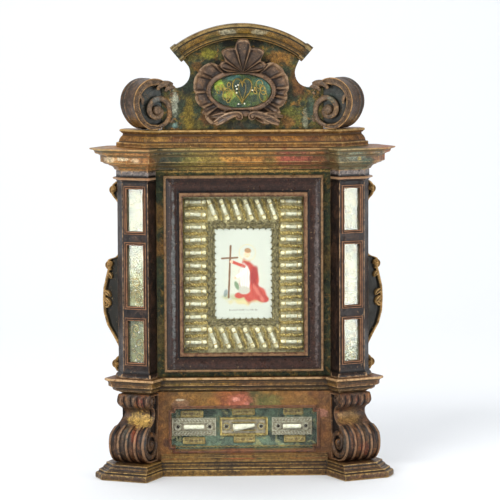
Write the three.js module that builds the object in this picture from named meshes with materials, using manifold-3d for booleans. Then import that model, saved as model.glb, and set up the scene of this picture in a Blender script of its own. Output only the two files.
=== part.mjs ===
// Standing reliquary: a painted and gilded wooden altar-shaped case with glazed windows, millimetres.
// X runs to the viewer's right, Y runs back, Z up. The origin is the bottom centre of the case's box.
import * as THREE from "three";
import { mergeVertices } from "three/addons/utils/BufferGeometryUtils.js";
import Module from "manifold-3d";

const wasm = await Module();
wasm.setup();

// Driving dimensions
const GAP = 0.3; // clearance between neighbouring pieces
const BACK = 62; // the flat back's distance behind the case front
const TURN = THREE.MathUtils.degToRad(25); // the outward turn of the blocks and pilasters
const CHAMFER = THREE.MathUtils.degToRad(70); // direction of the narrow face beside each block's front

const CASE_HALF = 117; // half width of the case front between the pilasters
const PILASTER_STAND = 25.5; // how far the inner returns stand out from the case front
const PILASTER_FACE = 38; // width of a pilaster's front
const PILASTER_EDGE = 20; // width of its narrow outer face

const PLINTH_TOP = 20.3;
const CONSOLE_TOP = 113.7;
const LEDGE_TOP = 134;
const PILASTER_TOP = 413.4;
const CORNICE_TOP = 443.2;
const ATTIC_TOP = 467;

const WINDOW_HALF = 81; // sight size of the main window
const WINDOW_LOW = 166.9;
const WINDOW_HIGH = 377.2;
const FRAME_HALF = 107;
const FRAME_LOW = 141.6;
const FRAME_HIGH = 406.4;
const FRAME_STAND = 11; // how far the window frame stands out

const PREDELLA_FACE = -2.5; // the predella front's place in y
const PREDELLA_HALF = 98.5;
const PREDELLA_LOW = 33.9;
const PREDELLA_HIGH = 90.8;
const PREDELLA_EAR = 5.5; // the small square taken out of each corner of the opening
const PREDELLA_RECESS = 13;
const FILLET_WIDTH = 3.4; // the raised fillet round the opening
const FILLET_STAND = 1.6;
const SILL_HALF = 112;
const PANE = 1.5; // thickness of a small pane, and of the paper that lines a recess
const PANE_SINK = 1.5; // how far the predella's pane lies behind its opening

// Relic mounts in the predella: the ends of each, and the rows they lie in
const MOUNTS = { left: [-98, -38], centre: [-32.5, 31.5], right: [37.5, 92] };
const MOUNT_LOW = 53.5;
const MOUNT_HIGH = 77.5;
const MOUNT_SCALE = 0.94;
const MOUNT_THICK = 1.4;
const RELIC_ROLL = 4; // radius of the paper roll on a mount

// The three niches of a pilaster, low and high edge of each raised lip
const NICHES = { low: [151.7, 216.4], middle: [227.4, 318], high: [328.3, 393.2] };
const LIP_WIDTH = 32;
const LIP_BAND = 4;
const LIP_RISE = 1.3;
const NICHE_DEPTH = 8;
const NICHE_PANE_SINK = 2.6; // how far a niche's pane lies behind the pilaster's face

// How far each course stands out from the pilaster's own faces: centre, inner, front, outer, rear
const PLINTH_REACH = [12.6, 12, 37.5, 38, 20];
const PLINTH_BLOCK_REACH = [9, 8.6, 27, 22, 9];
const LEDGE_REACH = [11.7, 12.4, 14, 23, 11];
const CORNICE_REACH = [22, 14, 22, 33, 35.5];
const CORE_REACH = [-PREDELLA_FACE, -1, -20, -6, -2];

// Plan of a block, worked out for the right-hand side
const along = new THREE.Vector2(Math.cos(TURN), Math.sin(TURN));
const ahead = new THREE.Vector2(Math.sin(TURN), -Math.cos(TURN));
const edgeWay = new THREE.Vector2(Math.cos(CHAMFER), Math.sin(CHAMFER));
const edgeOut = new THREE.Vector2(Math.sin(CHAMFER), -Math.cos(CHAMFER));
const pointFrom = (from, way, distance) => from.clone().addScaledVector(way, distance);
const rootCorner = new THREE.Vector2(CASE_HALF, 0);
const innerCorner = pointFrom(rootCorner, ahead, PILASTER_STAND);
const frontCorner = pointFrom(innerCorner, along, PILASTER_FACE);
const rearCorner = pointFrom(frontCorner, edgeWay, PILASTER_EDGE);

// Where two plan lines meet, each given by an outward normal and a point on it
function meet(normalA, pointA, normalB, pointB) {
  const a = normalA.dot(pointA);
  const b = normalB.dot(pointB);
  const area = normalA.x * normalB.y - normalA.y * normalB.x;
  return new THREE.Vector2((a * normalB.y - b * normalA.y) / area, (normalA.x * b - normalB.x * a) / area);
}

// The right half of a course's outline, from the case front round the block to the back
function halfPlan([centre, inner, front, outer, rear]) {
  const facing = new THREE.Vector2(0, -1);
  const inward = along.clone().negate();
  const lines = [
    [facing, new THREE.Vector2(0, -centre)],
    [inward, pointFrom(innerCorner, inward, inner)],
    [ahead, pointFrom(innerCorner, ahead, front)],
    [edgeOut, pointFrom(frontCorner, edgeOut, outer)],
    [along, pointFrom(rearCorner, along, rear)],
    [new THREE.Vector2(0, 1), new THREE.Vector2(0, BACK)],
  ];
  return lines.slice(1).map((line, i) => meet(...lines[i], ...line));
}

function wholePlan(reach, height) {
  const right = halfPlan(reach);
  const left = right.map((p) => new THREE.Vector2(-p.x, p.y)).reverse();
  return [...left, ...right].map((p) => new THREE.Vector3(p.x, p.y, height));
}

// A closed body from equal outlines joined side by side, its two end outlines filled
function loft(outlines, flat = (p) => new THREE.Vector2(p.x, p.y)) {
  const count = outlines[0].length;
  const faces = [];
  for (let r = 0; r + 1 < outlines.length; r += 1) {
    for (let i = 0; i < count; i += 1) {
      const j = (i + 1) % count;
      const low = r * count;
      const high = low + count;
      faces.push([low + i, low + j, high + j], [low + i, high + j, high + i]);
    }
  }
  const cap = (outline, first, turned) => {
    const ring = outline.map(flat);
    const way = Math.sign(THREE.ShapeUtils.area(ring));
    for (const [a, b, c] of THREE.ShapeUtils.triangulateShape(ring, [])) {
      const own = Math.sign(THREE.ShapeUtils.area([ring[a], ring[b], ring[c]]));
      const kept = (own === way) !== turned;
      faces.push(kept ? [first + a, first + b, first + c] : [first + a, first + c, first + b]);
    }
  };
  cap(outlines[0], 0, true);
  cap(outlines.at(-1), (outlines.length - 1) * count, false);
  return facingOut(outlines.flat(), faces);
}

// A geometry from points and triangles, turned inside out if its volume comes out negative
function facingOut(points, faces) {
  let volume = 0;
  for (const [a, b, c] of faces) {
    volume += points[a].dot(new THREE.Vector3().crossVectors(points[b], points[c]));
  }
  const kept = volume > 0 ? faces : faces.map(([a, b, c]) => [a, c, b]);
  const geometry = new THREE.BufferGeometry();
  geometry.setAttribute("position", new THREE.Float32BufferAttribute(points.flatMap((p) => p.toArray()), 3));
  geometry.setIndex(kept.flat());
  return geometry;
}

function mirrored(geometry) {
  const place = geometry.getAttribute("position");
  const points = [];
  for (let i = 0; i < place.count; i += 1) {
    points.push(new THREE.Vector3(-place.getX(i), place.getY(i), place.getZ(i)));
  }
  const index = geometry.getIndex().array;
  const faces = [];
  for (let i = 0; i < index.length; i += 3) {
    faces.push([index[i], index[i + 2], index[i + 1]]);
  }
  return facingOut(points, faces);
}

// Joins and cuts
function toSolid(geometry) {
  const bare = geometry.clone();
  bare.deleteAttribute("normal");
  bare.deleteAttribute("uv");
  const merged = mergeVertices(bare, 1e-4);
  const vertProperties = new Float32Array(merged.getAttribute("position").array);
  const triVerts = new Uint32Array(merged.getIndex().array);
  return new wasm.Manifold(new wasm.Mesh({ numProp: 3, vertProperties, triVerts }));
}

function toGeometry(solid) {
  const mesh = solid.getMesh();
  const geometry = new THREE.BufferGeometry();
  geometry.setAttribute("position", new THREE.BufferAttribute(new Float32Array(mesh.vertProperties), 3));
  geometry.setIndex(new THREE.BufferAttribute(new Uint32Array(mesh.triVerts), 1));
  return geometry;
}

const joined = (...parts) => toGeometry(parts.map(toSolid).reduce((a, b) => a.add(b)));
const cut = (body, ...tools) => toGeometry(tools.map(toSolid).reduce((a, b) => a.subtract(b), toSolid(body)));

// A box from its lowest to its highest corner
function box(low, high) {
  const geometry = new THREE.BoxGeometry(high[0] - low[0], high[1] - low[1], high[2] - low[2]);
  return geometry.translate((low[0] + high[0]) / 2, (low[1] + high[1]) / 2, (low[2] + high[2]) / 2);
}

// A box in a block's own directions: along its front, ahead of its front face, and up
function blockBox(acrossLow, acrossHigh, aheadLow, aheadHigh, low, high) {
  const corner = (a, b) => pointFrom(pointFrom(innerCorner, along, a), ahead, b);
  const ring = [
    corner(acrossLow, aheadLow),
    corner(acrossHigh, aheadLow),
    corner(acrossHigh, aheadHigh),
    corner(acrossLow, aheadHigh),
  ];
  return loft([low, high].map((z) => ring.map((p) => new THREE.Vector3(p.x, p.y, z))));
}

// A level course: each step of the profile is a height and a share of the way from least to full reach
function course(reach, profile, least = [0, 0, 0, 0, 0]) {
  const between = (share) => reach.map((value, i) => THREE.MathUtils.lerp(least[i], value, share));
  return loft(profile.map(([share, height]) => wholePlan(between(share), height)));
}

// A plate cut to an outline in the front plane, between two places in y
function plate(outline, front, back) {
  const at = (y) => outline.map(([x, z]) => new THREE.Vector3(x, y, z));
  return loft([at(front), at(back)], (p) => new THREE.Vector2(p.x, p.z));
}

// Points of an arc about a centre, both ends included
function arc(centreX, centreZ, radius, fromDegrees, toDegrees, steps) {
  const points = [];
  for (let i = 0; i <= steps; i += 1) {
    const angle = THREE.MathUtils.degToRad(fromDegrees + ((toDegrees - fromDegrees) * i) / steps);
    points.push([centreX + radius * Math.cos(angle), centreZ + radius * Math.sin(angle)]);
  }
  return points;
}

// A band that winds in from its rim to its eye, as an outline of two sides
function spiralBand({ rim, eye, width, turns, start, way, steps }) {
  const side = (inset) => {
    const points = [];
    for (let i = 0; i <= steps; i += 1) {
      const t = i / steps;
      const angle = THREE.MathUtils.degToRad(start + way * 360 * turns * t);
      const taper = width * (1 - 0.45 * t);
      const radius = eye + (rim - eye) * Math.pow(1 - t, 1.15) + (inset - 0.5) * taper;
      points.push([radius * Math.cos(angle), radius * Math.sin(angle)]);
    }
    return points;
  };
  return [...side(0), ...side(1).reverse()];
}

const pieces = new THREE.Group();
function add(name, geometry, color, roughness = 0.6, metalness = 0) {
  const material = new THREE.MeshStandardMaterial({ color, roughness, metalness });
  const mesh = new THREE.Mesh(geometry, material);
  mesh.name = name;
  pieces.add(mesh);
}
function addPair(name, geometry, color, roughness, metalness) {
  add(`${name}_right`, geometry, color, roughness, metalness);
  add(`${name}_left`, mirrored(geometry), color, roughness, metalness);
}

const BRONZE_PAINT = 0x6e5230;
const DARK_VIOLET = 0x4e4245;
const MARBLE_GREEN = 0x47532f;
const WORN_GILT = 0x7a6236;
const PAPER_GREEN = 0x5d7465;
const PAPER_OLIVE = 0x5a7040;
const AUBERGINE = 0x3a2622;
const OCHRE_GOLD = 0x8a6a32;
const OLIVE_GOLD = 0x6f6030;
const MAUVE_BROWN = 0x6b5444;
const AGED_CARD = 0xb9b49c;
const SILK_PAPER = 0xd8d2bc;
const PRINT_PAPER = 0xe6e4da;
const OLD_GOLD = 0x7d7448;
const TARNISHED_SILVER = 0xa8a08c;
const GLASS = 0xdfe8e4;

// Plinth: a moulded slab whose two ends break forward under the consoles
add("plinth", course(PLINTH_REACH, [
  [0.88, 0],
  [1, 1.6],
  [1, 6],
  [0.84, 8.4],
  [0.66, 8.9],
  [0.62, 11.4],
  [0.4, 11.9],
  [0.34, 14.6],
  [0.14, 15.1],
  [0.04, 18],
  [0, PLINTH_TOP],
], PLINTH_BLOCK_REACH), BRONZE_PAINT);

// Predella: the low box between plinth and ledge, with its moulded sill and the eared opening
function earedOutline(grow) {
  const half = PREDELLA_HALF + grow;
  const low = PREDELLA_LOW - grow;
  const high = PREDELLA_HIGH + grow;
  const inX = half - PREDELLA_EAR;
  const quarter = (z, step) => [[half, z + step * PREDELLA_EAR], [inX, z + step * PREDELLA_EAR], [inX, z]];
  const right = [...quarter(high, -1).reverse(), ...quarter(low, 1)];
  const top = right.slice(0, 3);
  const bottom = right.slice(3);
  const flip = (points) => points.map(([x, z]) => [-x, z]).reverse();
  return [...top, ...bottom, ...flip(bottom), ...flip(top)];
}
{
  const core = loft([PLINTH_TOP + GAP, CONSOLE_TOP].map((z) => wholePlan(CORE_REACH, z)));
  const fillet = plate(earedOutline(FILLET_WIDTH), PREDELLA_FACE - FILLET_STAND, PREDELLA_FACE + 1);
  const sill = loft([
    [6, PLINTH_TOP + GAP],
    [6, 24.6],
    [4.4, 26.4],
    [1.6, 28.4],
  ].map(([stand, z]) => [
    [-SILL_HALF, -2],
    [SILL_HALF, -2],
    [SILL_HALF, PREDELLA_FACE - stand],
    [-SILL_HALF, PREDELLA_FACE - stand],
  ].map(([x, y]) => new THREE.Vector3(x, y, z))));
  const opening = plate(earedOutline(0), PREDELLA_FACE - 5, PREDELLA_FACE + PREDELLA_RECESS);
  add("predella_body", cut(joined(core, fillet, sill), opening), BRONZE_PAINT);

  const floor = PREDELLA_FACE + PREDELLA_RECESS;
  const paperFront = floor - PANE;
  const paneFront = PREDELLA_FACE + PANE_SINK;
  add("predella_paper", plate(earedOutline(-GAP), paperFront, floor - GAP), PAPER_GREEN, 0.8);
  add("predella_glass", plate(earedOutline(-GAP), paneFront, paneFront + PANE), GLASS, 0.05);

  // Relic mounts: flat lace plates, each with a paper roll across its middle
  const laceBack = paperFront - GAP;
  const laceMiddle = (MOUNT_LOW + MOUNT_HIGH) / 2;
  for (const [side, [low, high]] of Object.entries(MOUNTS)) {
    const middle = (low + high) / 2;
    const half = ((high - low) / 2) * MOUNT_SCALE;
    const left = middle - half;
    const right = middle + half;
    const lace = box([left, laceBack - MOUNT_THICK, MOUNT_LOW], [right, laceBack, MOUNT_HIGH]);
    const roll = new THREE.CylinderGeometry(RELIC_ROLL, RELIC_ROLL, half, 10).rotateZ(Math.PI / 2);
    roll.translate(middle, laceBack - MOUNT_THICK, laceMiddle);
    const behind = box([left, laceBack, MOUNT_LOW], [right, floor + RELIC_ROLL, MOUNT_HIGH]);
    add(`relic_mount_${side}`, cut(joined(lace, roll), behind), TARNISHED_SILVER, 0.5, 0.4);
  }
}

// Consoles: an S scroll seen from its side, with a fluted front and a spiral on the inner cheek
const CONSOLE_BACK = -19.6;
const CONSOLE_WIDTH = 47;
const CONSOLE_START = -5;
const CONSOLE_SPLAY = 2; // how much further out the lower volute stands
const LOWER_SPREAD = 5; // how much wider the lower volute is than the neck
const UPPER_SPREAD = 2;
const CHEEK_SINK = 3.2; // depth of the spiral groove on its cheek
const LOWER_VOLUTE = { ahead: 0, height: PLINTH_TOP + GAP + 26, radius: 26 };
const UPPER_VOLUTE = { ahead: -1.5, height: 104.5, radius: 11 };
function consoleSide(inset) {
  const low = arc(LOWER_VOLUTE.ahead, LOWER_VOLUTE.height, LOWER_VOLUTE.radius - inset, -90, 70, 9);
  const neckFrom = low.at(-1);
  const high = arc(UPPER_VOLUTE.ahead, UPPER_VOLUTE.height, UPPER_VOLUTE.radius - inset, -62, 56, 5);
  const neck = new THREE.CubicBezierCurve(
    new THREE.Vector2(...neckFrom),
    new THREE.Vector2(neckFrom[0] - 17, neckFrom[1] + 4.5),
    new THREE.Vector2(high[0][0] - 14, high[0][1] - 3),
    new THREE.Vector2(...high[0]),
  ).getPoints(6).slice(1, -1).map((p) => [p.x, p.y]);
  const bottom = PLINTH_TOP + GAP + inset * 0.02;
  const top = CONSOLE_TOP - GAP;
  return [[CONSOLE_BACK, bottom], ...low, ...neck, ...high, [4, top], [CONSOLE_BACK, top]];
}
function consoleOutline(share, inset) {
  return consoleSide(inset).map(([q, z]) => {
    const lower = THREE.MathUtils.clamp((86 - z) / 26, 0, 1);
    const upper = THREE.MathUtils.clamp((z - 94) / 8, 0, 1);
    const width = CONSOLE_WIDTH + LOWER_SPREAD * lower + UPPER_SPREAD * upper;
    const across = CONSOLE_START + width * share + CONSOLE_SPLAY * lower;
    const place = pointFrom(pointFrom(innerCorner, along, across), ahead, q);
    return new THREE.Vector3(place.x, place.y, z);
  });
}
function fluteStations(flutes, ridge, depth) {
  const stations = [[0, depth * 0.5], [ridge / 2, 0]];
  for (let i = 0; i < flutes; i += 1) {
    const start = ridge + ((1 - ridge) * i) / flutes;
    const end = ridge + ((1 - ridge) * (i + 1)) / flutes - ridge;
    stations.push([start, 0], [(start + end) / 2, depth], [end, 0]);
  }
  stations.push([1 - ridge / 2, 0], [1, depth * 0.5]);
  return stations;
}
{
  const flat = (p) => {
    const fromCorner = new THREE.Vector2(p.x, p.y).sub(innerCorner);
    return new THREE.Vector2(fromCorner.dot(ahead), p.z);
  };
  const body = loft(fluteStations(4, 0.045, 1.7).map(([share, inset]) => consoleOutline(share, inset)), flat);
  // The groove that draws the lower volute's spiral on the inner cheek
  const groove = spiralBand({ rim: 19, eye: 6, width: 5.5, turns: 1.35, start: 60, way: -1, steps: 20 });
  const cheek = CONSOLE_START + CONSOLE_SPLAY;
  const grooveSolid = loft([cheek - 3, cheek + CHEEK_SINK].map((across) => groove.map(([q, z]) => {
    const place = pointFrom(pointFrom(innerCorner, along, across), ahead, LOWER_VOLUTE.ahead + q);
    return new THREE.Vector3(place.x, place.y, LOWER_VOLUTE.height + z);
  })), flat);
  addPair("scroll_console", cut(body, grooveSolid), BRONZE_PAINT);
}

// Ledge over the predella
add("ledge_moulding", course(LEDGE_REACH, [
  [0.12, CONSOLE_TOP + GAP],
  [0.2, 116.2],
  [0.42, 118.2],
  [0.46, 119.6],
  [0.66, 120.2],
  [0.7, 122.4],
  [0.78, 124.8],
  [0.8, 127.6],
  [0.93, 129.4],
  [1, 131.4],
  [1, 132.6],
  [0.97, LEDGE_TOP],
]), BRONZE_PAINT);

// Case body behind the main window
const CASE_LOW = LEDGE_TOP + GAP;
const RECESS_DEPTH = 24;
const RECESS_GROW = 3;
add("case_body", cut(
  box([-CASE_HALF + GAP, 0, CASE_LOW], [CASE_HALF - GAP, BACK, PILASTER_TOP]),
  box(
    [-WINDOW_HALF - RECESS_GROW, -5, WINDOW_LOW - RECESS_GROW],
    [WINDOW_HALF + RECESS_GROW, RECESS_DEPTH, WINDOW_HIGH + RECESS_GROW],
  ),
), MARBLE_GREEN);

// Pilasters: flared foot, three glazed niches with raised lips, an astragal and a frieze block on top
function pilasterRing(grow, height) {
  const reach = [0, grow, grow, grow, grow * 0.8];
  const points = halfPlan(reach);
  const inner = new THREE.Vector2(CASE_HALF, BACK);
  const root = new THREE.Vector2(CASE_HALF, Math.min(points[0].y, -GAP));
  const foot = meet(along.clone().negate(), points[1], new THREE.Vector2(-1, 0), root);
  return [foot, ...points.slice(1), inner].map((p) => new THREE.Vector3(p.x, p.y, height));
}
{
  const body = loft([
    [4.2, CASE_LOW], [4, 136.2], [1.8, 138], [0.5, 140.6], [0, 144],
    [0, 399], [1.4, 399.6], [1.6, 401], [5.4, 401.4], [6.2, 402.8], [5.4, 404.2],
    [1.2, 404.6], [1.2, PILASTER_TOP],
  ].map(([grow, z]) => pilasterRing(grow, z)));
  const middle = PILASTER_FACE / 2;
  const lips = [];
  const niches = [];
  const panes = {};
  const papers = {};
  for (const [name, [low, high]] of Object.entries(NICHES)) {
    const half = LIP_WIDTH / 2;
    const clear = half - LIP_BAND;
    lips.push(blockBox(middle - half, middle + half, -1, LIP_RISE, low, high));
    niches.push(blockBox(middle - clear, middle + clear, -NICHE_DEPTH, 4, low + LIP_BAND, high - LIP_BAND));
    const inX = clear - GAP;
    const [inLow, inHigh] = [low + LIP_BAND + GAP, high - LIP_BAND - GAP];
    const sheet = (behind, before) => blockBox(middle - inX, middle + inX, behind, before, inLow, inHigh);
    panes[name] = sheet(-NICHE_PANE_SINK - PANE, -NICHE_PANE_SINK);
    papers[name] = sheet(-NICHE_DEPTH + GAP, -NICHE_DEPTH + PANE);
  }
  addPair("pilaster", cut(joined(body, ...lips), ...niches), DARK_VIOLET);
  for (const name of Object.keys(NICHES)) {
    addPair(`niche_glass_${name}`, panes[name], GLASS, 0.05);
    addPair(`niche_paper_${name}`, papers[name], PAPER_GREEN, 0.8);
  }
}

// Side wings: a carved board on each pilaster's outer side, its edge curling out in three places
{
  const WING_BACK = 20; // how far behind the pilaster's outer corner the wing's rear face lies
  const WING_THICK = 11;
  const WING_RIM = 7; // width of the rim left standing round the sunk field
  const WING_SINK = 3;
  const outlinePoints = [
    [0, 397], [5, 397.5], [11, 393], [14, 386], [12, 378], [6, 372], [2, 366], [2, 306], [4, 298], [9, 293],
    [15, 293], [19, 291], [20.5, 285], [19, 279], [22, 268], [26, 252], [27, 236], [26, 219], [21, 202],
    [12, 188], [5, 176], [2, 168], [2, 162], [8, 158], [11, 151], [10, 144], [7, 139.5], [4.4, 141], [3, 146],
    [0, 147],
  ];
  const flat = (p) => new THREE.Vector2(new THREE.Vector2(p.x, p.y).sub(rearCorner).dot(along), p.z);
  const slab = (from, to, points) => loft([from, to].map((behind) => points.map(([r, z]) => {
    const place = pointFrom(pointFrom(rearCorner, along, r + GAP), ahead, -behind);
    return new THREE.Vector3(place.x, place.y, z);
  })), flat);
  const centre = new THREE.Vector2(4, 240);
  const field = outlinePoints.filter(([r, z]) => r > 11 && z > 190 && z < 300).map(([r, z]) => {
    const inward = centre.clone().sub(new THREE.Vector2(r, z)).normalize().multiplyScalar(WING_RIM);
    return [r + inward.x, z + inward.y];
  });
  const face = WING_BACK - WING_THICK;
  const sunk = slab(face - 1, face + WING_SINK, [[1.5, 292], ...field, [1.5, 196]]);
  const leaf = slab(face + 0.5, face + WING_SINK + 1, [
    [24.5, 252], [16, 255], [10, 262], [12, 250], [8, 243], [14, 238], [11, 228], [18, 232], [24.5, 230],
  ]);
  addPair("side_wing", joined(cut(slab(face, WING_BACK, outlinePoints), sunk), leaf), WORN_GILT);
}

// Window frame: four mitred lengths of one moulding
{
  // share of the way from sight edge to outer edge, and how far the face stands out
  const section = [
    [0, 0.4], [0, 4], [0.12, 5.2], [0.2, 4.4], [0.3, 4.2], [0.45, 5.2], [0.62, 7.4], [0.8, 9.8],
    [0.88, FRAME_STAND], [0.97, FRAME_STAND], [1, 9.6], [1, 0.4],
  ];
  const { lerp } = THREE.MathUtils;
  const corner = (share, sideX, sideZ) => [
    sideX * lerp(WINDOW_HALF, FRAME_HALF, share),
    sideZ > 0 ? lerp(WINDOW_HIGH, FRAME_HIGH, share) : lerp(WINDOW_LOW, FRAME_LOW, share),
  ];
  const signs = [[-1, -1], [1, -1], [1, 1], [-1, 1]];
  const points = signs.flatMap(([sx, sz]) => section.map(([share, stand]) => {
    const [x, z] = corner(share, sx, sz);
    return new THREE.Vector3(x, -stand, z);
  }));
  const count = section.length;
  const faces = [];
  for (let side = 0; side < 4; side += 1) {
    for (let i = 0; i < count; i += 1) {
      const j = (i + 1) % count;
      const here = side * count;
      const next = ((side + 1) % 4) * count;
      faces.push([here + i, here + j, next + j], [here + i, next + j, next + i]);
    }
  }
  add("window_frame", facingOut(points, faces), AUBERGINE);
  const inset = RECESS_GROW - GAP;
  add("window_glass", box(
    [-WINDOW_HALF - inset, GAP, WINDOW_LOW - inset],
    [WINDOW_HALF + inset, 2.2, WINDOW_HIGH + inset],
  ), GLASS, 0.05);
}

// Relic tray: the ground board, with paper rolls down both sides, slanted rolls across, braid and print
{
  const TRAY_FRONT = 11;
  const grow = RECESS_GROW - GAP;
  add("relic_tray", box(
    [-WINDOW_HALF - grow, TRAY_FRONT, WINDOW_LOW - grow],
    [WINDOW_HALF + grow, RECESS_DEPTH - GAP, WINDOW_HIGH + grow],
  ), AGED_CARD, 0.8);
  const BED = 1.2; // card strip under the rolls
  const ROLL = 2.9;
  const COLUMN = [48.5, 80.4];
  const ROW_HEIGHTS = [[168.2, 202.2], [342.3, 376.2]];
  const ROLLS_DOWN = 12;
  const ROLLS_ACROSS = 6;
  const ROW_ROLL = 29; // length of a slanted roll
  const ROW_TILT = THREE.MathUtils.degToRad(70);
  const low = WINDOW_LOW + 1.3;
  const high = WINDOW_HIGH - 1.2;
  const rod = (length, x, z, tilt) => {
    const geometry = new THREE.CylinderGeometry(ROLL, ROLL, length, 8).rotateY(Math.PI / 8);
    return geometry.rotateZ(Math.PI / 2).rotateY(tilt).translate(x, TRAY_FRONT - GAP - BED - ROLL * 0.6, z);
  };
  const bed = (x0, x1, z0, z1) => box([x0, TRAY_FRONT - GAP - BED, z0], [x1, TRAY_FRONT - GAP, z1]);
  const trim = box([-90, TRAY_FRONT - GAP, 150], [90, TRAY_FRONT + 8, 390]);
  const columnParts = [bed(COLUMN[0], COLUMN[1], low, high)];
  const pitch = (high - low) / ROLLS_DOWN;
  for (let i = 0; i < ROLLS_DOWN; i += 1) {
    columnParts.push(rod(COLUMN[1] - COLUMN[0] - 2, (COLUMN[0] + COLUMN[1]) / 2, low + pitch * (i + 0.5), 0));
  }
  addPair("roll_column", cut(joined(...columnParts), trim), SILK_PAPER, 0.6);
  for (const [name, [z0, z1]] of Object.entries({ low: ROW_HEIGHTS[0], high: ROW_HEIGHTS[1] })) {
    const rowParts = [bed(-COLUMN[0] + GAP, COLUMN[0] - GAP, z0, z1)];
    const step = (2 * COLUMN[0]) / ROLLS_ACROSS;
    for (let i = 0; i < ROLLS_ACROSS; i += 1) {
      rowParts.push(rod(ROW_ROLL, -COLUMN[0] + step * (i + 0.5), (z0 + z1) / 2, ROW_TILT));
    }
    add(`roll_row_${name}`, cut(joined(...rowParts), trim), SILK_PAPER, 0.6);
  }
  const BRAID_OUT = { half: 47.4, low: 203, high: 341.6 };
  const BRAID_IN = { half: 38.6, low: 211, high: 333.4 };
  const ringBox = (size, y0, y1) => box([-size.half, y0, size.low], [size.half, y1, size.high]);
  add("braid_border", cut(
    ringBox(BRAID_OUT, TRAY_FRONT - 3.4, TRAY_FRONT - GAP),
    ringBox(BRAID_IN, TRAY_FRONT - 6, TRAY_FRONT + 2),
  ), OLD_GOLD, 0.5, 0.4);
  add("print_card", box(
    [-BRAID_IN.half + GAP, TRAY_FRONT - 1, BRAID_IN.low + GAP],
    [BRAID_IN.half - GAP, TRAY_FRONT - GAP, BRAID_IN.high - GAP],
  ), PRINT_PAPER, 0.8);
}

// Cornice, breaking forward over the pilasters
add("cornice", course(CORNICE_REACH, [
  [0.1, PILASTER_TOP + GAP],
  [0.14, 415.6],
  [0.28, 417],
  [0.3, 419],
  [0.42, 420.4],
  [0.5, 422.6],
  [0.57, 423.6],
  [0.6, 424.2],
  [0.61, 433.4],
  [0.7, 434.4],
  [0.77, 437],
  [0.9, 439.6],
  [0.99, 441],
  [1, CORNICE_TOP],
]), BRONZE_PAINT);

// Attic moulding: a low base whose ends run back on a slant
function atticRing(stand, height) {
  const front = 4 - stand;
  const cornerX = 128 + stand * 0.45;
  const endX = 158 + stand;
  const right = [[cornerX, front], [endX, 36 - stand * 0.4], [endX - 6, 52]];
  const left = right.map(([x, y]) => [-x, y]).reverse();
  return [...left, ...right].map(([x, y]) => new THREE.Vector3(x, y, height));
}
add("attic_moulding", loft([
  [12, CORNICE_TOP + GAP], [12.6, 446], [11.6, 449.2], [8.6, 450.4], [5.4, 453.6], [3.6, 457.6],
  [3.4, 460.6], [5.2, 461.8], [7, 463.4], [7.4, 465.2], [6.6, ATTIC_TOP],
].map(([stand, z]) => atticRing(stand, z))), OCHRE_GOLD);

// Pediment board with its round notches
const BOARD_FRONT = 4;
const BOARD_BACK = 22;
const NOTCH = { x: 90, z: 542.5, radius: 20 };
const ARCH = { middle: -1.5, radius: 149.5, centre: 459.3, span: 39.2, thick: 21 };
{
  const archUnder = ARCH.radius - ARCH.thick - 2 * GAP;
  const half = (middle) => [
    ...arc(middle, ARCH.centre, archUnder, 90, 52.5, 8),
    ...arc(NOTCH.x, NOTCH.z, NOTCH.radius, 152, 275, 9),
    [108, 522.5],
    [108, ATTIC_TOP + GAP],
  ];
  const left = half(-ARCH.middle).slice(1).map(([x, z]) => [-x, z]).reverse();
  add("pediment_board", plate([...left, ...half(ARCH.middle)], BOARD_FRONT, BOARD_BACK), MARBLE_GREEN);
}

// Arch moulding: one length bent to a segment, its ends cut square to the curve
{
  // how far in from the outer edge, and the place in y
  const section = [
    [0, 24], [0, -13], [1.6, -14.5], [3.8, -14.5], [5, -12.6], [7.5, -12], [10.5, -10.4], [12.5, -7.6],
    [15, -6.8], [17.4, -6.6], [18, -4.4], [20, -3], [21, 1.5], [21, BOARD_FRONT - GAP], [21, 24],
  ];
  const steps = 14;
  const rings = [];
  for (let i = 0; i <= steps; i += 1) {
    const angle = THREE.MathUtils.degToRad(90 + ARCH.span - (2 * ARCH.span * i) / steps);
    rings.push(section.map(([inset, y]) => {
      const radius = ARCH.radius - inset;
      const x = ARCH.middle + radius * Math.cos(angle);
      return new THREE.Vector3(x, y, ARCH.centre + radius * Math.sin(angle));
    }));
  }
  const flat = (p) => new THREE.Vector2(Math.hypot(p.x - ARCH.middle, p.z - ARCH.centre), p.y);
  add("arch_moulding", loft(rings, flat), OLIVE_GOLD);
}

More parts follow.
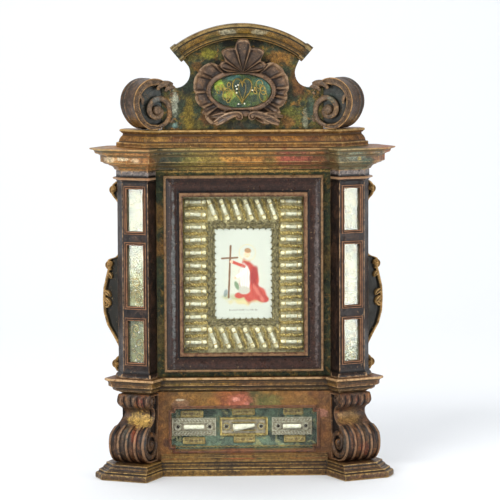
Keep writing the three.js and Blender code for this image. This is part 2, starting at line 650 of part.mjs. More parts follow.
// Attic scrolls: thick rolls that face in towards the middle, with a spiral sunk in the face
{
  const FACE_TURN = THREE.MathUtils.degToRad(28);
  const EYE = new THREE.Vector3(116, -7, 494.8);
  const SCROLL_WIDTH = 42;
  const SETTLE = 4; // how far the underside is let down to rest on the attic moulding
  const sideways = new THREE.Vector2(Math.cos(FACE_TURN), -Math.sin(FACE_TURN));
  const deep = new THREE.Vector2(Math.sin(FACE_TURN), Math.cos(FACE_TURN));
  const at = (a, z, depth) => {
    const plan = new THREE.Vector2(EYE.x, EYE.y).addScaledVector(sideways, a).addScaledVector(deep, depth);
    return new THREE.Vector3(plan.x, plan.y, EYE.z + z);
  };
  const flat = (p) => new THREE.Vector2(new THREE.Vector2(p.x, p.y).dot(sideways), p.z);
  const floor = ATTIC_TOP + GAP - EYE.z;
  const steps = 28;
  const rim = (inset, depth) => {
    const points = [];
    for (let i = 0; i < steps; i += 1) {
      const angle = (2 * Math.PI * i) / steps;
      const curve = 31 + 9 * Math.sin(angle) + 2.5 * Math.cos(angle) - 1.5 * Math.cos(2 * angle);
      const radius = curve + SETTLE * Math.max(0, -Math.sin(angle)) ** 2 - inset;
      points.push(at(radius * Math.cos(angle), Math.max(radius * Math.sin(angle), floor), depth));
    }
    return points;
  };
  const stations = fluteStations(3, 0.06, 1.6);
  const body = loft(stations.map(([share, inset]) => rim(inset, share * SCROLL_WIDTH)), flat);
  const groove = spiralBand({ rim: 23, eye: 7.5, width: 6.5, turns: 1.45, start: 160, way: -1, steps: 24 });
  const grooveSolid = loft([-4, 7].map((depth) => groove.map(([a, z]) => at(a, z + 1, depth))), flat);
  const boardSide = box([0, BOARD_FRONT - GAP, 460], [108 + GAP, BOARD_BACK + GAP, 560]);
  addPair("attic_scroll", cut(body, grooveSolid, boardSide), BRONZE_PAINT);
}

// Cartouche: a ruffled oval frame with a shell over it and two small scrolls below
{
  const CENTRE = new THREE.Vector2(-2, 518.6);
  const OPEN = { half: 41, rise: 23 };
  const CREST_LEAN = 9; // the top leaf curls forward over the arch's lower edge
  const columns = 72;
  // the rim's tips: direction in degrees, distance from the centre, and how wide each spreads
  const tips = [
    [90, 70.5, 16], [117, 63, 15], [63, 63, 15], [130, 50, 12], [50, 50, 12],
    [-54, 55, 13], [-126, 55, 13],
  ];
  const rimDistance = (angle) => {
    const degrees = THREE.MathUtils.radToDeg(angle);
    const oval = 1 / Math.hypot(Math.cos(angle) / 61, Math.sin(angle) / 33);
    const ruffled = oval + 2.4 * Math.abs(Math.sin(angle * 6.5 + 0.6));
    const reached = tips.map(([way, distance, spread]) => {
      const off = Math.abs(THREE.MathUtils.euclideanModulo(degrees - way + 180, 360) - 180);
      return distance * Math.exp(-Math.pow(off / spread, 4) * 0.35);
    });
    return Math.max(ruffled, ...reached);
  };
  const points = [];
  // share of the way from the opening to the rim, and the place in y
  const section = [[0, BOARD_FRONT - GAP], [0, 0.3], [0.15, -2.6], [0.5, -5.2], [0.88, -4.8], [1, -1.5]];
  const rows = [...section, [1, BOARD_FRONT - GAP]];
  for (let i = 0; i < columns; i += 1) {
    const angle = (2 * Math.PI * i) / columns - Math.PI / 2;
    const wrapped = angle < -Math.PI / 2 ? angle + 2 * Math.PI : angle;
    const inner = 1 / Math.hypot(Math.cos(wrapped) / OPEN.half, Math.sin(wrapped) / OPEN.rise);
    const outer = rimDistance(wrapped);
    for (const [share, y] of rows) {
      const radius = inner + (outer - inner) * share;
      const x = CENTRE.x + radius * Math.cos(wrapped);
      const z = CENTRE.y + radius * Math.sin(wrapped);
      const lean = CREST_LEAN * THREE.MathUtils.clamp((z - 560) / 28, 0, 1);
      points.push(new THREE.Vector3(x, y - lean, z));
    }
  }
  const faces = [];
  for (let i = 0; i < columns; i += 1) {
    for (let j = 0; j < rows.length; j += 1) {
      const k = (j + 1) % rows.length;
      const here = i * rows.length;
      const next = ((i + 1) % columns) * rows.length;
      faces.push([here + j, here + k, next + k], [here + j, next + k, next + j]);
    }
  }
  add("cartouche", facingOut(points, faces), MAUVE_BROWN);
  const ovalSides = 26;
  const oval = (grow) => {
    const ring = [];
    for (let i = 0; i < ovalSides; i += 1) {
      const angle = (2 * Math.PI * i) / ovalSides;
      const x = CENTRE.x + (OPEN.half + grow) * Math.cos(angle);
      ring.push([x, CENTRE.y + (OPEN.rise + grow) * Math.sin(angle)]);
    }
    return ring;
  };
  add("cartouche_paper", plate(oval(-1), 2.4, BOARD_FRONT - GAP), PAPER_OLIVE, 0.8);
  add("cartouche_glass", plate(oval(-1), 0.6, 1.6), GLASS, 0.05);
}

export default pieces;
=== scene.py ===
import bpy
import numpy as np
from mathutils import Matrix


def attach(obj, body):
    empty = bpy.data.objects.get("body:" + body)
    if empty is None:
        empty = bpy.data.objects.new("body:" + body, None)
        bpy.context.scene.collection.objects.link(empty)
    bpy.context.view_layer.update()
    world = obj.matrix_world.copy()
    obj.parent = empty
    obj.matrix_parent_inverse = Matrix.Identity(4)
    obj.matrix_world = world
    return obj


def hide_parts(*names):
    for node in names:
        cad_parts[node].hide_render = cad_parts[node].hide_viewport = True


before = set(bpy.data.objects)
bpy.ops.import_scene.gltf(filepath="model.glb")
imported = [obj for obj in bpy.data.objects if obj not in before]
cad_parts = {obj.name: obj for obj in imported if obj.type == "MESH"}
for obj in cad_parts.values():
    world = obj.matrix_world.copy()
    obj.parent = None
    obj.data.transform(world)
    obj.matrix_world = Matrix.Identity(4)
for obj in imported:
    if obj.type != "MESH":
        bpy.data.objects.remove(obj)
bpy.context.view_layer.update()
bpy.context.scene.view_settings.view_transform = "Standard"

# Camera: a long lens straight in front of the case, a hand's breadth to its left and just above its crest,
# looking a little down.
AZIMUTH, ELEVATION, ROLL = np.radians((-1.64, 5.63, -0.26))
EYE_POINT = (-0.0959, -3.6569, 0.6658)
LENS_MM = 197.06
SENSOR_MM = 36.0
forward = np.array((-np.sin(AZIMUTH) * np.cos(ELEVATION), np.cos(AZIMUTH) * np.cos(ELEVATION),
                    -np.sin(ELEVATION)))
level = np.array((np.cos(AZIMUTH), np.sin(AZIMUTH), 0.0))
upright = np.cross(level, forward)
camera_right = level * np.cos(ROLL) + upright * np.sin(ROLL)
camera_up = upright * np.cos(ROLL) - level * np.sin(ROLL)
camera_data = bpy.data.cameras.new("view")
camera_data.lens = LENS_MM
camera_data.sensor_width = SENSOR_MM
camera = bpy.data.objects.new("view", camera_data)
camera.matrix_world = Matrix([
    [*row, place] for row, place in zip(
        np.stack([camera_right, camera_up, -forward], axis=1).tolist(), EYE_POINT)
] + [[0, 0, 0, 1]])
bpy.context.scene.collection.objects.link(camera)
bpy.context.scene.camera = camera


# Studio: one white sheet that is floor and wall, a soft key from above, and a tall soft box on either side.
# The two side boxes are what the turned pilaster panes mirror, so the left one hangs higher off the floor.
def set_inputs(tree, made, sockets):
    """Sets a node's inputs, by name or number, each to a value or to another node's output."""
    for name, value in sockets.items():
        if isinstance(value, bpy.types.NodeSocket):
            tree.links.new(value, made.inputs[name])
        else:
            made.inputs[name].default_value = value
    return made


def node(tree, kind, sockets=None, **settings):
    """Adds a shader node of a kind, with its settings and its inputs."""
    made = tree.nodes.new("ShaderNode" + kind)
    for name, value in settings.items():
        setattr(made, name, value)
    return set_inputs(tree, made, sockets or {})


def paint(red, green, blue):
    """A colour given as 0 to 255 screen values, turned into linear light."""
    share = np.array((red, green, blue)) / 255
    linear = np.where(share <= 0.04045, share / 12.92, ((share + 0.055) / 1.055) ** 2.4)
    return (*linear.tolist(), 1.0)


def new_material(name):
    """A material with a Principled shader, and its tree."""
    material = bpy.data.materials.new(name)
    material.use_nodes = True
    return material, material.node_tree, material.node_tree.nodes["Principled BSDF"]


SHEET_HALF = 4.0
SHEET_FRONT = -5.0
SHEET_BEND = 1.6  # where the floor starts to rise behind the case
SHEET_RADIUS = 1.2
SHEET_TOP = 4.5
bend = np.linspace(0, np.pi / 2, 25)
sheet_run = np.vstack([
    [[SHEET_FRONT, 0.0]],
    np.stack([SHEET_BEND + SHEET_RADIUS * np.sin(bend), SHEET_RADIUS * (1 - np.cos(bend))], axis=1),
    [[SHEET_BEND + SHEET_RADIUS, SHEET_TOP]],
])
sheet_points = [(side * SHEET_HALF, y, z) for y, z in sheet_run for side in (-1, 1)]
sheet_faces = [(2 * i, 2 * i + 1, 2 * i + 3, 2 * i + 2) for i in range(len(sheet_run) - 1)]
sheet_mesh = bpy.data.meshes.new("studio_sheet")
sheet_mesh.from_pydata(sheet_points, [], sheet_faces)
sheet_mesh.shade_smooth()
sheet = bpy.data.objects.new("studio_sheet", sheet_mesh)
bpy.context.scene.collection.objects.link(sheet)
sheet_finish, sheet_tree, sheet_shader = new_material("studio_white")
behind = node(sheet_tree, "Math", {0: node(sheet_tree, "NewGeometry").outputs["Backfacing"],
                                   1: node(sheet_tree, "LightPath").outputs["Is Camera Ray"]},
                                   operation="MULTIPLY")
unseen = node(sheet_tree, "MixShader", {0: behind.outputs[0], 1: sheet_shader.outputs[0],
                                        2: node(sheet_tree, "BsdfTransparent").outputs[0]})
set_inputs(sheet_tree, sheet_tree.nodes["Material Output"], {"Surface": unseen.outputs[0]})
set_inputs(sheet_tree, sheet_shader, {"Base Color": paint(238, 240, 242), "Roughness": 0.9})
sheet_mesh.materials.append(sheet_finish)


def softbox(name, place, toward, size, watts, tint=(1.0, 1.0, 1.0)):
    """A rectangular light at place, turned to face toward, and left out of the camera's sight."""
    data = bpy.data.lights.new(name, "AREA")
    data.shape = "RECTANGLE"
    data.size, data.size_y = size
    data.energy = watts
    data.color = tint
    lamp = bpy.data.objects.new(name, data)
    back = np.subtract(place, toward)
    back = back / np.linalg.norm(back)
    side = np.cross((0, 0, 1), back)
    side = side / np.linalg.norm(side)
    turned = np.stack([side, np.cross(back, side), back], axis=1).tolist()
    lamp.matrix_world = Matrix([[*row, at] for row, at in zip(turned, place)] + [[0, 0, 0, 1]])
    lamp.visible_camera = False
    bpy.context.scene.collection.objects.link(lamp)


softbox("key", (-0.9, -1.7, 2.1), (0, 0, 0.3), (0.9, 0.7), 34)
softbox("left_box", (-1.3, -1.02, 0.62), (0, 0, 0.3), (0.24, 1.04), 8)
softbox("right_box", (1.06, -0.75, 0.5), (0, 0, 0.3), (0.24, 1.0), 7)
softbox("sheet_wash", (0, 1.0, 3.2), (0, 2.2, 0.8), (3.0, 1.0), 48)
world = bpy.data.worlds.new("studio_air")
world.use_nodes = True
set_inputs(world.node_tree, world.node_tree.nodes["Background"],
           {"Color": (0.95, 0.97, 1.0, 1.0), "Strength": 0.5})
bpy.context.scene.world = world

# Plinth: a moulded slab of pine whose ends break forward under the consoles, marbled in brown and gold.
# Its fillets are rubbed to the gilding along every arris.
MM = 0.001
SHARP = np.radians(38)
TURN, CHAMFER = np.radians((25, 70))
ALONG = np.array((np.cos(TURN), np.sin(TURN)))
AHEAD = np.array((np.sin(TURN), -np.cos(TURN)))
EDGE_WAY = np.array((np.cos(CHAMFER), np.sin(CHAMFER)))
EDGE_OUT = np.array((np.sin(CHAMFER), -np.cos(CHAMFER)))
CASE_HALF = 117.0
CASE_BACK = 62.0
PILASTER_STAND, PILASTER_FACE, PILASTER_EDGE = 25.5, 38.0, 20.0
GAP = 0.3
inner_corner = np.array((CASE_HALF, 0.0)) + AHEAD * PILASTER_STAND
front_corner = inner_corner + ALONG * PILASTER_FACE
rear_corner = front_corner + EDGE_WAY * PILASTER_EDGE


def half_plan(reach):
    """Corners of a course's right half: its five faces, each moved out by its reach and met with the next."""
    centre, inner, front, outer, rear = reach
    faces = [
        (np.array((0.0, -1.0)), np.array((0.0, -centre))),
        (-ALONG, inner_corner - ALONG * inner),
        (AHEAD, inner_corner + AHEAD * front),
        (EDGE_OUT, front_corner + EDGE_OUT * outer),
        (ALONG, rear_corner + ALONG * rear),
        (np.array((0.0, 1.0)), np.array((0.0, CASE_BACK))),
    ]
    return np.array([
        np.linalg.solve(np.array([a, b]), (a @ p, b @ q)) for (a, p), (b, q) in zip(faces, faces[1:])
    ])


def whole_plan(reach):
    """Both halves of a course's outline, anticlockwise from the left end of the back."""
    right = half_plan(reach)
    return np.vstack([right[::-1] * (-1, 1), right])


def bow(start, end, sag, count=12):
    """Points from start to end that stand off the straight line by sag at the middle, to the line's right."""
    start, end = np.array(start, float), np.array(end, float)
    t = np.linspace(0, 1, count)[:, None]
    way = (end - start) / np.linalg.norm(end - start)
    return start + (end - start) * t + np.array((way[1], -way[0])) * (4 * sag * t * (1 - t))


def ogee(start, end, sag, count=20):
    """Points from start to end, bowed by sag to the right in the first half and to the left in the second."""
    middle = (np.array(start, float) + end) / 2
    return np.vstack([bow(start, middle, sag, count // 2), bow(middle, end, -sag, count // 2)[1:]])


def smoothed(values, width, step, closed):
    """Rows of values averaged with a bell-shaped weight of that width, the rows being step apart."""
    reach = int(np.ceil(3 * width / step))
    weights = np.exp(-0.5 * (np.arange(-reach, reach + 1) * step / width) ** 2)
    how = {"mode": "wrap"} if closed else {"mode": "reflect", "reflect_type": "odd"}
    padded = np.pad(values, ((reach, reach), (0, 0)), **how)
    return np.stack([np.convolve(column, weights / weights.sum(), "valid") for column in padded.T], axis=1)


def moulding(stretches, count, soft=0.3, broad=1.3, closed=False):
    """A profile of count points from joined stretches, its arrises rounded by soft, and each point's relief.

    Relief is how far the rounded line stands proud of the same line averaged over broad: near 1 on an arris,
    near -1 in a quirk. Points are spaced closer where the line bends."""
    line = np.vstack([np.atleast_2d(stretch) for stretch in stretches]).astype(float)
    if closed:
        line = np.vstack([line, line[:1]])
    far = np.concatenate([[0], np.cumsum(np.hypot(*np.diff(line, axis=0).T))])
    steps = int(far[-1] / 0.1)
    step = far[-1] / steps
    at = np.arange(steps if closed else steps + 1) * step
    fine = np.stack([np.interp(at, far, line[:, k]) for k in (0, 1)], axis=1)
    crisp = smoothed(fine, soft, step, closed)
    heading = np.gradient(crisp, axis=0)
    heading /= np.linalg.norm(heading, axis=1)[:, None] + 1e-9
    proud = crisp - smoothed(fine, broad, step, closed)
    relief = (proud[:, 0] * heading[:, 1] - proud[:, 1] * heading[:, 0]) / (0.22 * broad)
    if closed:
        relief *= np.sign(np.sum(fine[:, 0] * np.roll(fine[:, 1], -1) - fine[:, 1] * np.roll(fine[:, 0], -1)))
    bend = np.abs(np.gradient(np.unwrap(np.arctan2(heading[:, 1], heading[:, 0]))))
    crowd = np.cumsum(step + 1.2 * bend)
    chosen = np.interp(np.linspace(crowd[0], crowd[-1], count + int(closed))[:count], crowd,
                       np.arange(len(crowd)))
    pick = [np.interp(chosen, np.arange(len(crisp)), column) for column in (*crisp.T, relief)]
    return np.stack(pick[:2], axis=1), np.clip(pick[2], -1, 1)


def mitred(base, reach, amounts, spacing=4.2):
    """A closed run of straight lengths mitred at its corners, one row of points for each amount.

    Each corner stands at base + amount * reach. Columns crowd at the corners, which are eased a little.
    Returns the points, the distance along the run, and the relief that the corners alone give."""
    corners = base[None] + np.asarray(amounts)[:, None, None] * reach[None]
    middle = corners.mean(axis=0)
    columns, far, relief = [], [], []
    travelled = 0.0
    turn_way = []
    count = len(base)
    for k in range(count):
        before, here, after = middle[k - 1], middle[k], middle[(k + 1) % count]
        a, b = here - before, after - here
        turn_way.append(np.sign(a[0] * b[1] - a[1] * b[0]))
    whole = 0.5 * np.sum(middle[:, 0] * np.roll(middle[:, 1], -1) - middle[:, 1] * np.roll(middle[:, 0], -1))
    turn_way = np.array(turn_way) * np.sign(whole)
    for k in range(count):
        nxt = (k + 1) % count
        length = np.linalg.norm(middle[nxt] - middle[k])
        ease = min(0.45, length / 8)
        runs = max(1, int(round((length - 4 * ease) / spacing)))
        d = np.concatenate([[0, ease], np.linspace(2 * ease, length - 2 * ease, runs + 1), [length - ease]])
        t = (d / length)[None, :, None]
        block = corners[:, k, None] * (1 - t) + corners[:, nxt, None] * t
        columns.append(block)
        far.append(travelled + d)
        near = turn_way[k] * np.exp(-(d / 1.1) ** 2) + turn_way[nxt] * np.exp(-((length - d) / 1.1) ** 2)
        relief.append(near)
        travelled += length
    points = np.concatenate(columns, axis=1)
    starts = np.cumsum([0] + [block.shape[1] for block in columns[:-1]])
    eased = (points[:, starts - 1] + 2 * points[:, starts] + points[:, (starts + 1) % points.shape[1]]) / 4
    points[:, starts] = eased
    return points, np.concatenate(far), np.concatenate(relief)


def grain(points, cell, seed=0):
    """Smooth chance values from -1 to 1: a hashed number at each corner of a lattice, blended between."""
    scaled = points / cell
    base = np.floor(scaled).astype(np.int64)
    part = scaled - base
    part = part * part * (3 - 2 * part)
    total = np.zeros(points.shape[:-1])
    for corner in np.ndindex(2, 2, 2):
        lattice = base + np.array(corner)
        mixed = (lattice @ np.array((73856093, 19349663, 83492791)) + seed * 40503) & 0xFFFFFFFF
        mixed = ((mixed ^ (mixed >> 13)) * 1274126177) & 0xFFFFFFFF
        mixed = mixed ^ (mixed >> 16)
        weight = np.prod(np.where(np.array(corner) == 1, part, 1 - part), axis=-1)
        total += weight * ((mixed & 0xFFFF) / 32767.5 - 1)
    return total


def face_rows(rows, columns, loop):
    """Corner numbers of the quads of a grid whose columns close up, and whose rows do too if loop."""
    last = rows if loop else rows - 1
    r, c = np.meshgrid(np.arange(last), np.arange(columns), indexing="ij")
    r, c = r.ravel(), c.ravel()
    up, over = (r + 1) % rows, (c + 1) % columns
    return np.stack([r * columns + c, r * columns + over, up * columns + over, up * columns + c], axis=1)


def volume_sign(points, loop):
    """1 if the grid's faces point out of the closed body they make, else -1."""
    flat = points.reshape(-1, 3)
    flat = flat - flat.mean(axis=0)
    quads = face_rows(*points.shape[:2], loop)
    a, b, c, d = (flat[quads[:, k]] for k in range(4))
    total = np.einsum("ij,ij->", a, np.cross(b, c)) + np.einsum("ij,ij->", a, np.cross(c, d))
    if not loop:
        for ring, way in ((points[0], -1), (points[-1], 1)):
            ring = ring - points.reshape(-1, 3).mean(axis=0)
            hub = ring.mean(axis=0)
            fan = np.cross(ring, np.roll(ring, -1, axis=0))
            total += way * np.einsum("j,ij->", hub, fan)
    return 1 if total > 0 else -1


def outward(points, loop=False):
    """Unit normals of a grid of points, out of its body."""
    over = np.roll(points, -1, axis=1) - np.roll(points, 1, axis=1)
    up = np.roll(points, -1, axis=0) - np.roll(points, 1, axis=0) if loop else np.gradient(points, axis=0)
    normal = np.cross(over, up)
    normal /= np.linalg.norm(normal, axis=2)[..., None] + 1e-9
    return normal * volume_sign(points, loop)


def hand_worked(points, relief, loop=False, wave=0.22, chips=0.5, seed=1):
    """Points moved along their normals: slow waves of the plane, fine tool ripple, chips out of arrises."""
    normal = outward(points, loop)
    slow = grain(points, 38.0, seed) * wave + grain(points, 7.0, seed + 1) * wave * 0.25
    broken = np.clip(grain(points, 5.0, seed + 2) + 0.6 * grain(points, 2.0, seed + 3) - 0.55, 0, 1)
    lost = -chips * broken * np.clip(relief - 0.35, 0, 1) * 2
    return points + normal * (slow + lost)[..., None]


def shell(points, relief=0.0, along=0.0, across=0.0, loop=False):
    """One closed body: a grid whose columns close up, with its rows closed up too or its two ends filled."""
    fill = [np.broadcast_to(value, points.shape[:2]).ravel() for value in (along, across, relief)]
    return {"points": points, "marks": np.stack(fill, axis=1), "loop": loop}


def carved(points, marks, wave, chips, seed, along=0.0, across=0.0, loop=False):
    """A closed body of hand-worked wood, from its grid and its relief."""
    return shell(hand_worked(points, marks, loop, wave, chips, seed), marks, along, across, loop)


def placed(name, mesh, material, slot, *nodes):
    """Gives a mesh its finish and an object that rides on the case and stands for the nodes."""
    mesh.materials.append(material)
    made = bpy.data.objects.new(name, mesh)
    bpy.context.scene.collection.objects.link(made)
    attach(made, "root")
    if nodes:
        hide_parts(*nodes)


def piece(name, shells, material, slot, *nodes):
    """One piece of the object: its closed bodies, given in millimetres, in one mesh."""
    places, corners, sizes, marks = [], [], [], []
    first = 0
    for body in shells:
        points = body["points"]
        rows, columns = points.shape[:2]
        way = volume_sign(points, body["loop"])
        quads = face_rows(rows, columns, body["loop"])
        corners.append((quads if way > 0 else quads[:, ::-1]).ravel() + first)
        sizes.append(np.full(len(quads), 4))
        if not body["loop"]:
            low, high = np.arange(columns)[::-1], np.arange(columns) + (rows - 1) * columns
            for ring in (low, high):
                corners.append((ring if way > 0 else ring[::-1]) + first)
                sizes.append([columns])
        places.append(points.reshape(-1, 3))
        marks.append(body["marks"])
        first += rows * columns
    places, corners, sizes = np.vstack(places) * MM, np.concatenate(corners), np.concatenate(sizes)
    mesh = bpy.data.meshes.new(name)
    mesh.vertices.add(len(places))
    mesh.vertices.foreach_set("co", places.astype(np.float32).ravel())
    mesh.loops.add(len(corners))
    mesh.loops.foreach_set("vertex_index", corners.astype(np.int32))
    mesh.polygons.add(len(sizes))
    mesh.polygons.foreach_set("loop_start", np.concatenate([[0], np.cumsum(sizes)[:-1]]).astype(np.int32))
    mesh.update(calc_edges=True)
    mesh.validate()
    mesh.shade_smooth()
    mesh.set_sharp_from_angle(angle=SHARP)
    for name_of, column in zip(("along", "across", "relief"), np.vstack(marks).T):
        mesh.attributes.new(name_of, "FLOAT", "POINT").data.foreach_set("value", column.astype(np.float32))
    placed(name, mesh, material, slot, *nodes)


def raised(plan, heights):
    """The points of a plan, each row at its own height."""
    return np.concatenate([plan, np.broadcast_to(heights[:, None, None], (*plan.shape[:2], 1))], axis=2)


def course(profile, relief, run, reach, least=(0, 0, 0, 0, 0), wave=0.22, chips=0.5, seed=1):
    """A level course round the case: the profile's measure outward, over run, moves each face to its reach."""
    base = whole_plan(least)
    plan, far, corners = mitred(base, whole_plan(reach) - base, profile[:, 0] / run)
    relief = relief[:, None]
    marks = np.maximum(relief, corners) + np.minimum(relief, 0) + np.minimum(corners, 0)
    share = np.linspace(0, 1, len(profile))[:, None]
    return carved(raised(plan, profile[:, 1]), np.clip(marks, -1, 1), wave, chips, seed, far, share)


def new_group(name, inputs, outputs):
    """A shader node group with its sockets, and its tree, inputs and output node."""
    group = bpy.data.node_groups.new(name, "ShaderNodeTree")
    for way, sockets in (("INPUT", inputs), ("OUTPUT", outputs)):
        for label, kind in sockets.items():
            group.interface.new_socket(label, in_out=way, socket_type="NodeSocket" + kind)
    source = group.nodes.new("NodeGroupInput").outputs
    drain = group.nodes.new("NodeGroupOutput").inputs
    return group, source, drain


def fit_range(tree, value, low, high, to_low=0.0, to_high=1.0):
    """A value eased from to_low at low to to_high at high."""
    made = node(tree, "MapRange", {"Value": value, "From Min": low, "From Max": high, "To Min": to_low,
                                   "To Max": to_high}, interpolation_type="SMOOTHSTEP")
    return made.outputs["Result"]


def noise(tree, place, scale, detail=3.0, rough=0.55, twist=0.0):
    """A noise pattern's value at place, scale being in cells a metre."""
    made = node(tree, "TexNoise", {"Vector": place, "Scale": scale, "Detail": detail, "Roughness": rough,
                                   "Distortion": twist})
    return made.outputs["Factor" if "Factor" in made.outputs else "Fac"]


def blend(tree, share, under, over, kind="MIX"):
    """The colour under with the colour over laid on it where share is 1."""
    return node(tree, "Mix", {0: share, 6: under, 7: over}, data_type="RGBA", blend_type=kind).outputs[2]


def sums(tree, how, a, b, clamp=False):
    """One sum of two values, by the name of a Math node's operation."""
    return node(tree, "Math", {0: a, 1: b}, operation=how, use_clamp=clamp).outputs[0]


# Marbling: three paints dabbed over one another in patches, with a fine sponge mottle and thin dark veins.
marbling, given, result = new_group(
    "marbling",
    {"Vector": "Vector", "Patches": "Float", "First": "Color", "Second": "Color", "Third": "Color",
     "Vein": "Float"},
    {"Colour": "Color", "Mottle": "Float"},
)
second_share = fit_range(marbling,
                         noise(marbling, given["Vector"], given["Patches"], 4, 0.6, 0.7), 0.44, 0.56)
moved = node(marbling, "VectorMath", {0: given["Vector"], 1: (0.31, 0.17, 0.23)}, operation="ADD").outputs[0]
finer = sums(marbling, "MULTIPLY", given["Patches"], 1.6)
third_share = fit_range(marbling, noise(marbling, moved, finer, 5, 0.62, 0.9), 0.53, 0.62)
mixed = blend(marbling, second_share, given["First"], given["Second"])
mixed = blend(marbling, third_share, mixed, given["Third"])
broad_sponge = fit_range(marbling, noise(marbling, moved, 170, 6, 0.76, 0.5), 0.36, 0.66, 0.42, 1.6)
fine_sponge = fit_range(marbling, noise(marbling, given["Vector"], 640, 4, 0.75), 0.34, 0.68, 0.55, 1.5)
marbling.links.new(sums(marbling, "MULTIPLY", broad_sponge, fine_sponge), result["Mottle"])
vein_line = sums(marbling, "ABSOLUTE",
                 sums(marbling, "SUBTRACT", noise(marbling, moved, 42, 6, 0.62, 1.4), 0.5), 0.0)
vein = sums(marbling, "MULTIPLY", fit_range(marbling, vein_line, 0.0, 0.02, 1.0, 0.0), given["Vein"])
marbling.links.new(blend(marbling, vein, mixed, paint(24, 20, 14)), result["Colour"])

# Weathering: how far the paint is rubbed off each arris, how much dark glaze and dust lies in each quirk,
# and the height of the brush marks, specks and fine cracks.
weathering, given, result = new_group(
    "weathering",
    {"Vector": "Vector", "Relief": "Float", "Rub": "Float", "Cracks": "Float"},
    {"Bare": "Float", "Deep": "Float", "Flecks": "Float", "Height": "Float"},
)
broken = noise(weathering, given["Vector"], 150, 6, 0.78)
edge = sums(weathering, "ADD", given["Relief"],
            sums(weathering, "MULTIPLY", sums(weathering, "SUBTRACT", broken, 0.52), 2.7))
bare = sums(weathering, "MULTIPLY", fit_range(weathering, edge, 0.5, 1.1), given["Rub"], True)
deep = fit_range(weathering, sums(weathering, "SUBTRACT", given["Relief"],
                                  sums(weathering, "MULTIPLY", broken, 0.5)), -0.25, -0.8)
fleck = fit_range(weathering, noise(weathering, given["Vector"], 300, 6, 0.78), 0.6, 0.68)
patch = fit_range(weathering, noise(weathering, given["Vector"], 26, 3, 0.6), 0.46, 0.6)
cell = node(weathering, "TexVoronoi", {"Vector": given["Vector"], "Scale": 190, "Randomness": 1.0},
            feature="DISTANCE_TO_EDGE").outputs["Distance"]
crack = sums(weathering, "MULTIPLY", fit_range(weathering, cell, 0.0, 0.05, 1.0, 0.0), given["Cracks"])
height = sums(weathering, "SUBTRACT", noise(weathering, given["Vector"], 700, 4, 0.6),
              sums(weathering, "ADD", sums(weathering, "MULTIPLY", crack, 0.8),
                   sums(weathering, "MULTIPLY", bare, 0.3)))
weathering.links.new(bare, result["Bare"])
weathering.links.new(deep, result["Deep"])
weathering.links.new(sums(weathering, "MULTIPLY", fleck, patch), result["Flecks"])
weathering.links.new(height, result["Height"])


def dabbed(tree, place, paints, patches, vein):
    """The marbling of three paints: its colour and its mottle."""
    first, second, third = (paint(*colour) for colour in paints)
    sockets = {"Vector": place, "Patches": patches, "First": first, "Second": second, "Third": third,
               "Vein": vein}
    return node(tree, "Group", sockets, node_tree=marbling).outputs


def ramp(tree, value, stops):
    """A colour read off a band of (place, colour) stops."""
    made = node(tree, "ValToRGB", {"Fac": value})
    elements = made.color_ramp.elements
    for k, (place, *colour) in enumerate(stops):
        element = elements[k] if k < 2 else elements.new(place)
        element.position = place
        element.color = paint(*colour)
    return made.outputs["Color"]


def laid_spots(tree, place, colour, spots):
    """Single ragged patches: each at (x, z) with half sizes in millimetres, then a colour and a strength."""
    for x, z, wide, tall, *shade, strength in spots:
        off = node(tree, "VectorMath", {0: place, 1: (x * MM, 0, z * MM)}, operation="SUBTRACT").outputs[0]
        shrink = (1 / (wide * MM), 0, 1 / (tall * MM))
        off = node(tree, "VectorMath", {0: off, 1: shrink}, operation="MULTIPLY").outputs[0]
        far = node(tree, "VectorMath", {0: off}, operation="LENGTH").outputs["Value"]
        ragged = sums(tree, "MULTIPLY", sums(tree, "SUBTRACT", noise(tree, place, 130, 6, 0.75), 0.5), 2.8)
        share = fit_range(tree, sums(tree, "ADD", far, ragged), 1.2, 0.6, 0.0, strength)
        colour = blend(tree, share, colour, paint(*shade))
    return colour


ZONE_HALF = 210.0  # the zones' ramp runs this far to both sides of the middle
STAIN = (82, 62, 44)
BARE_METAL, BUMP_SHARE, BUMP_HEIGHT = 0.4, 0.35, 0.0006


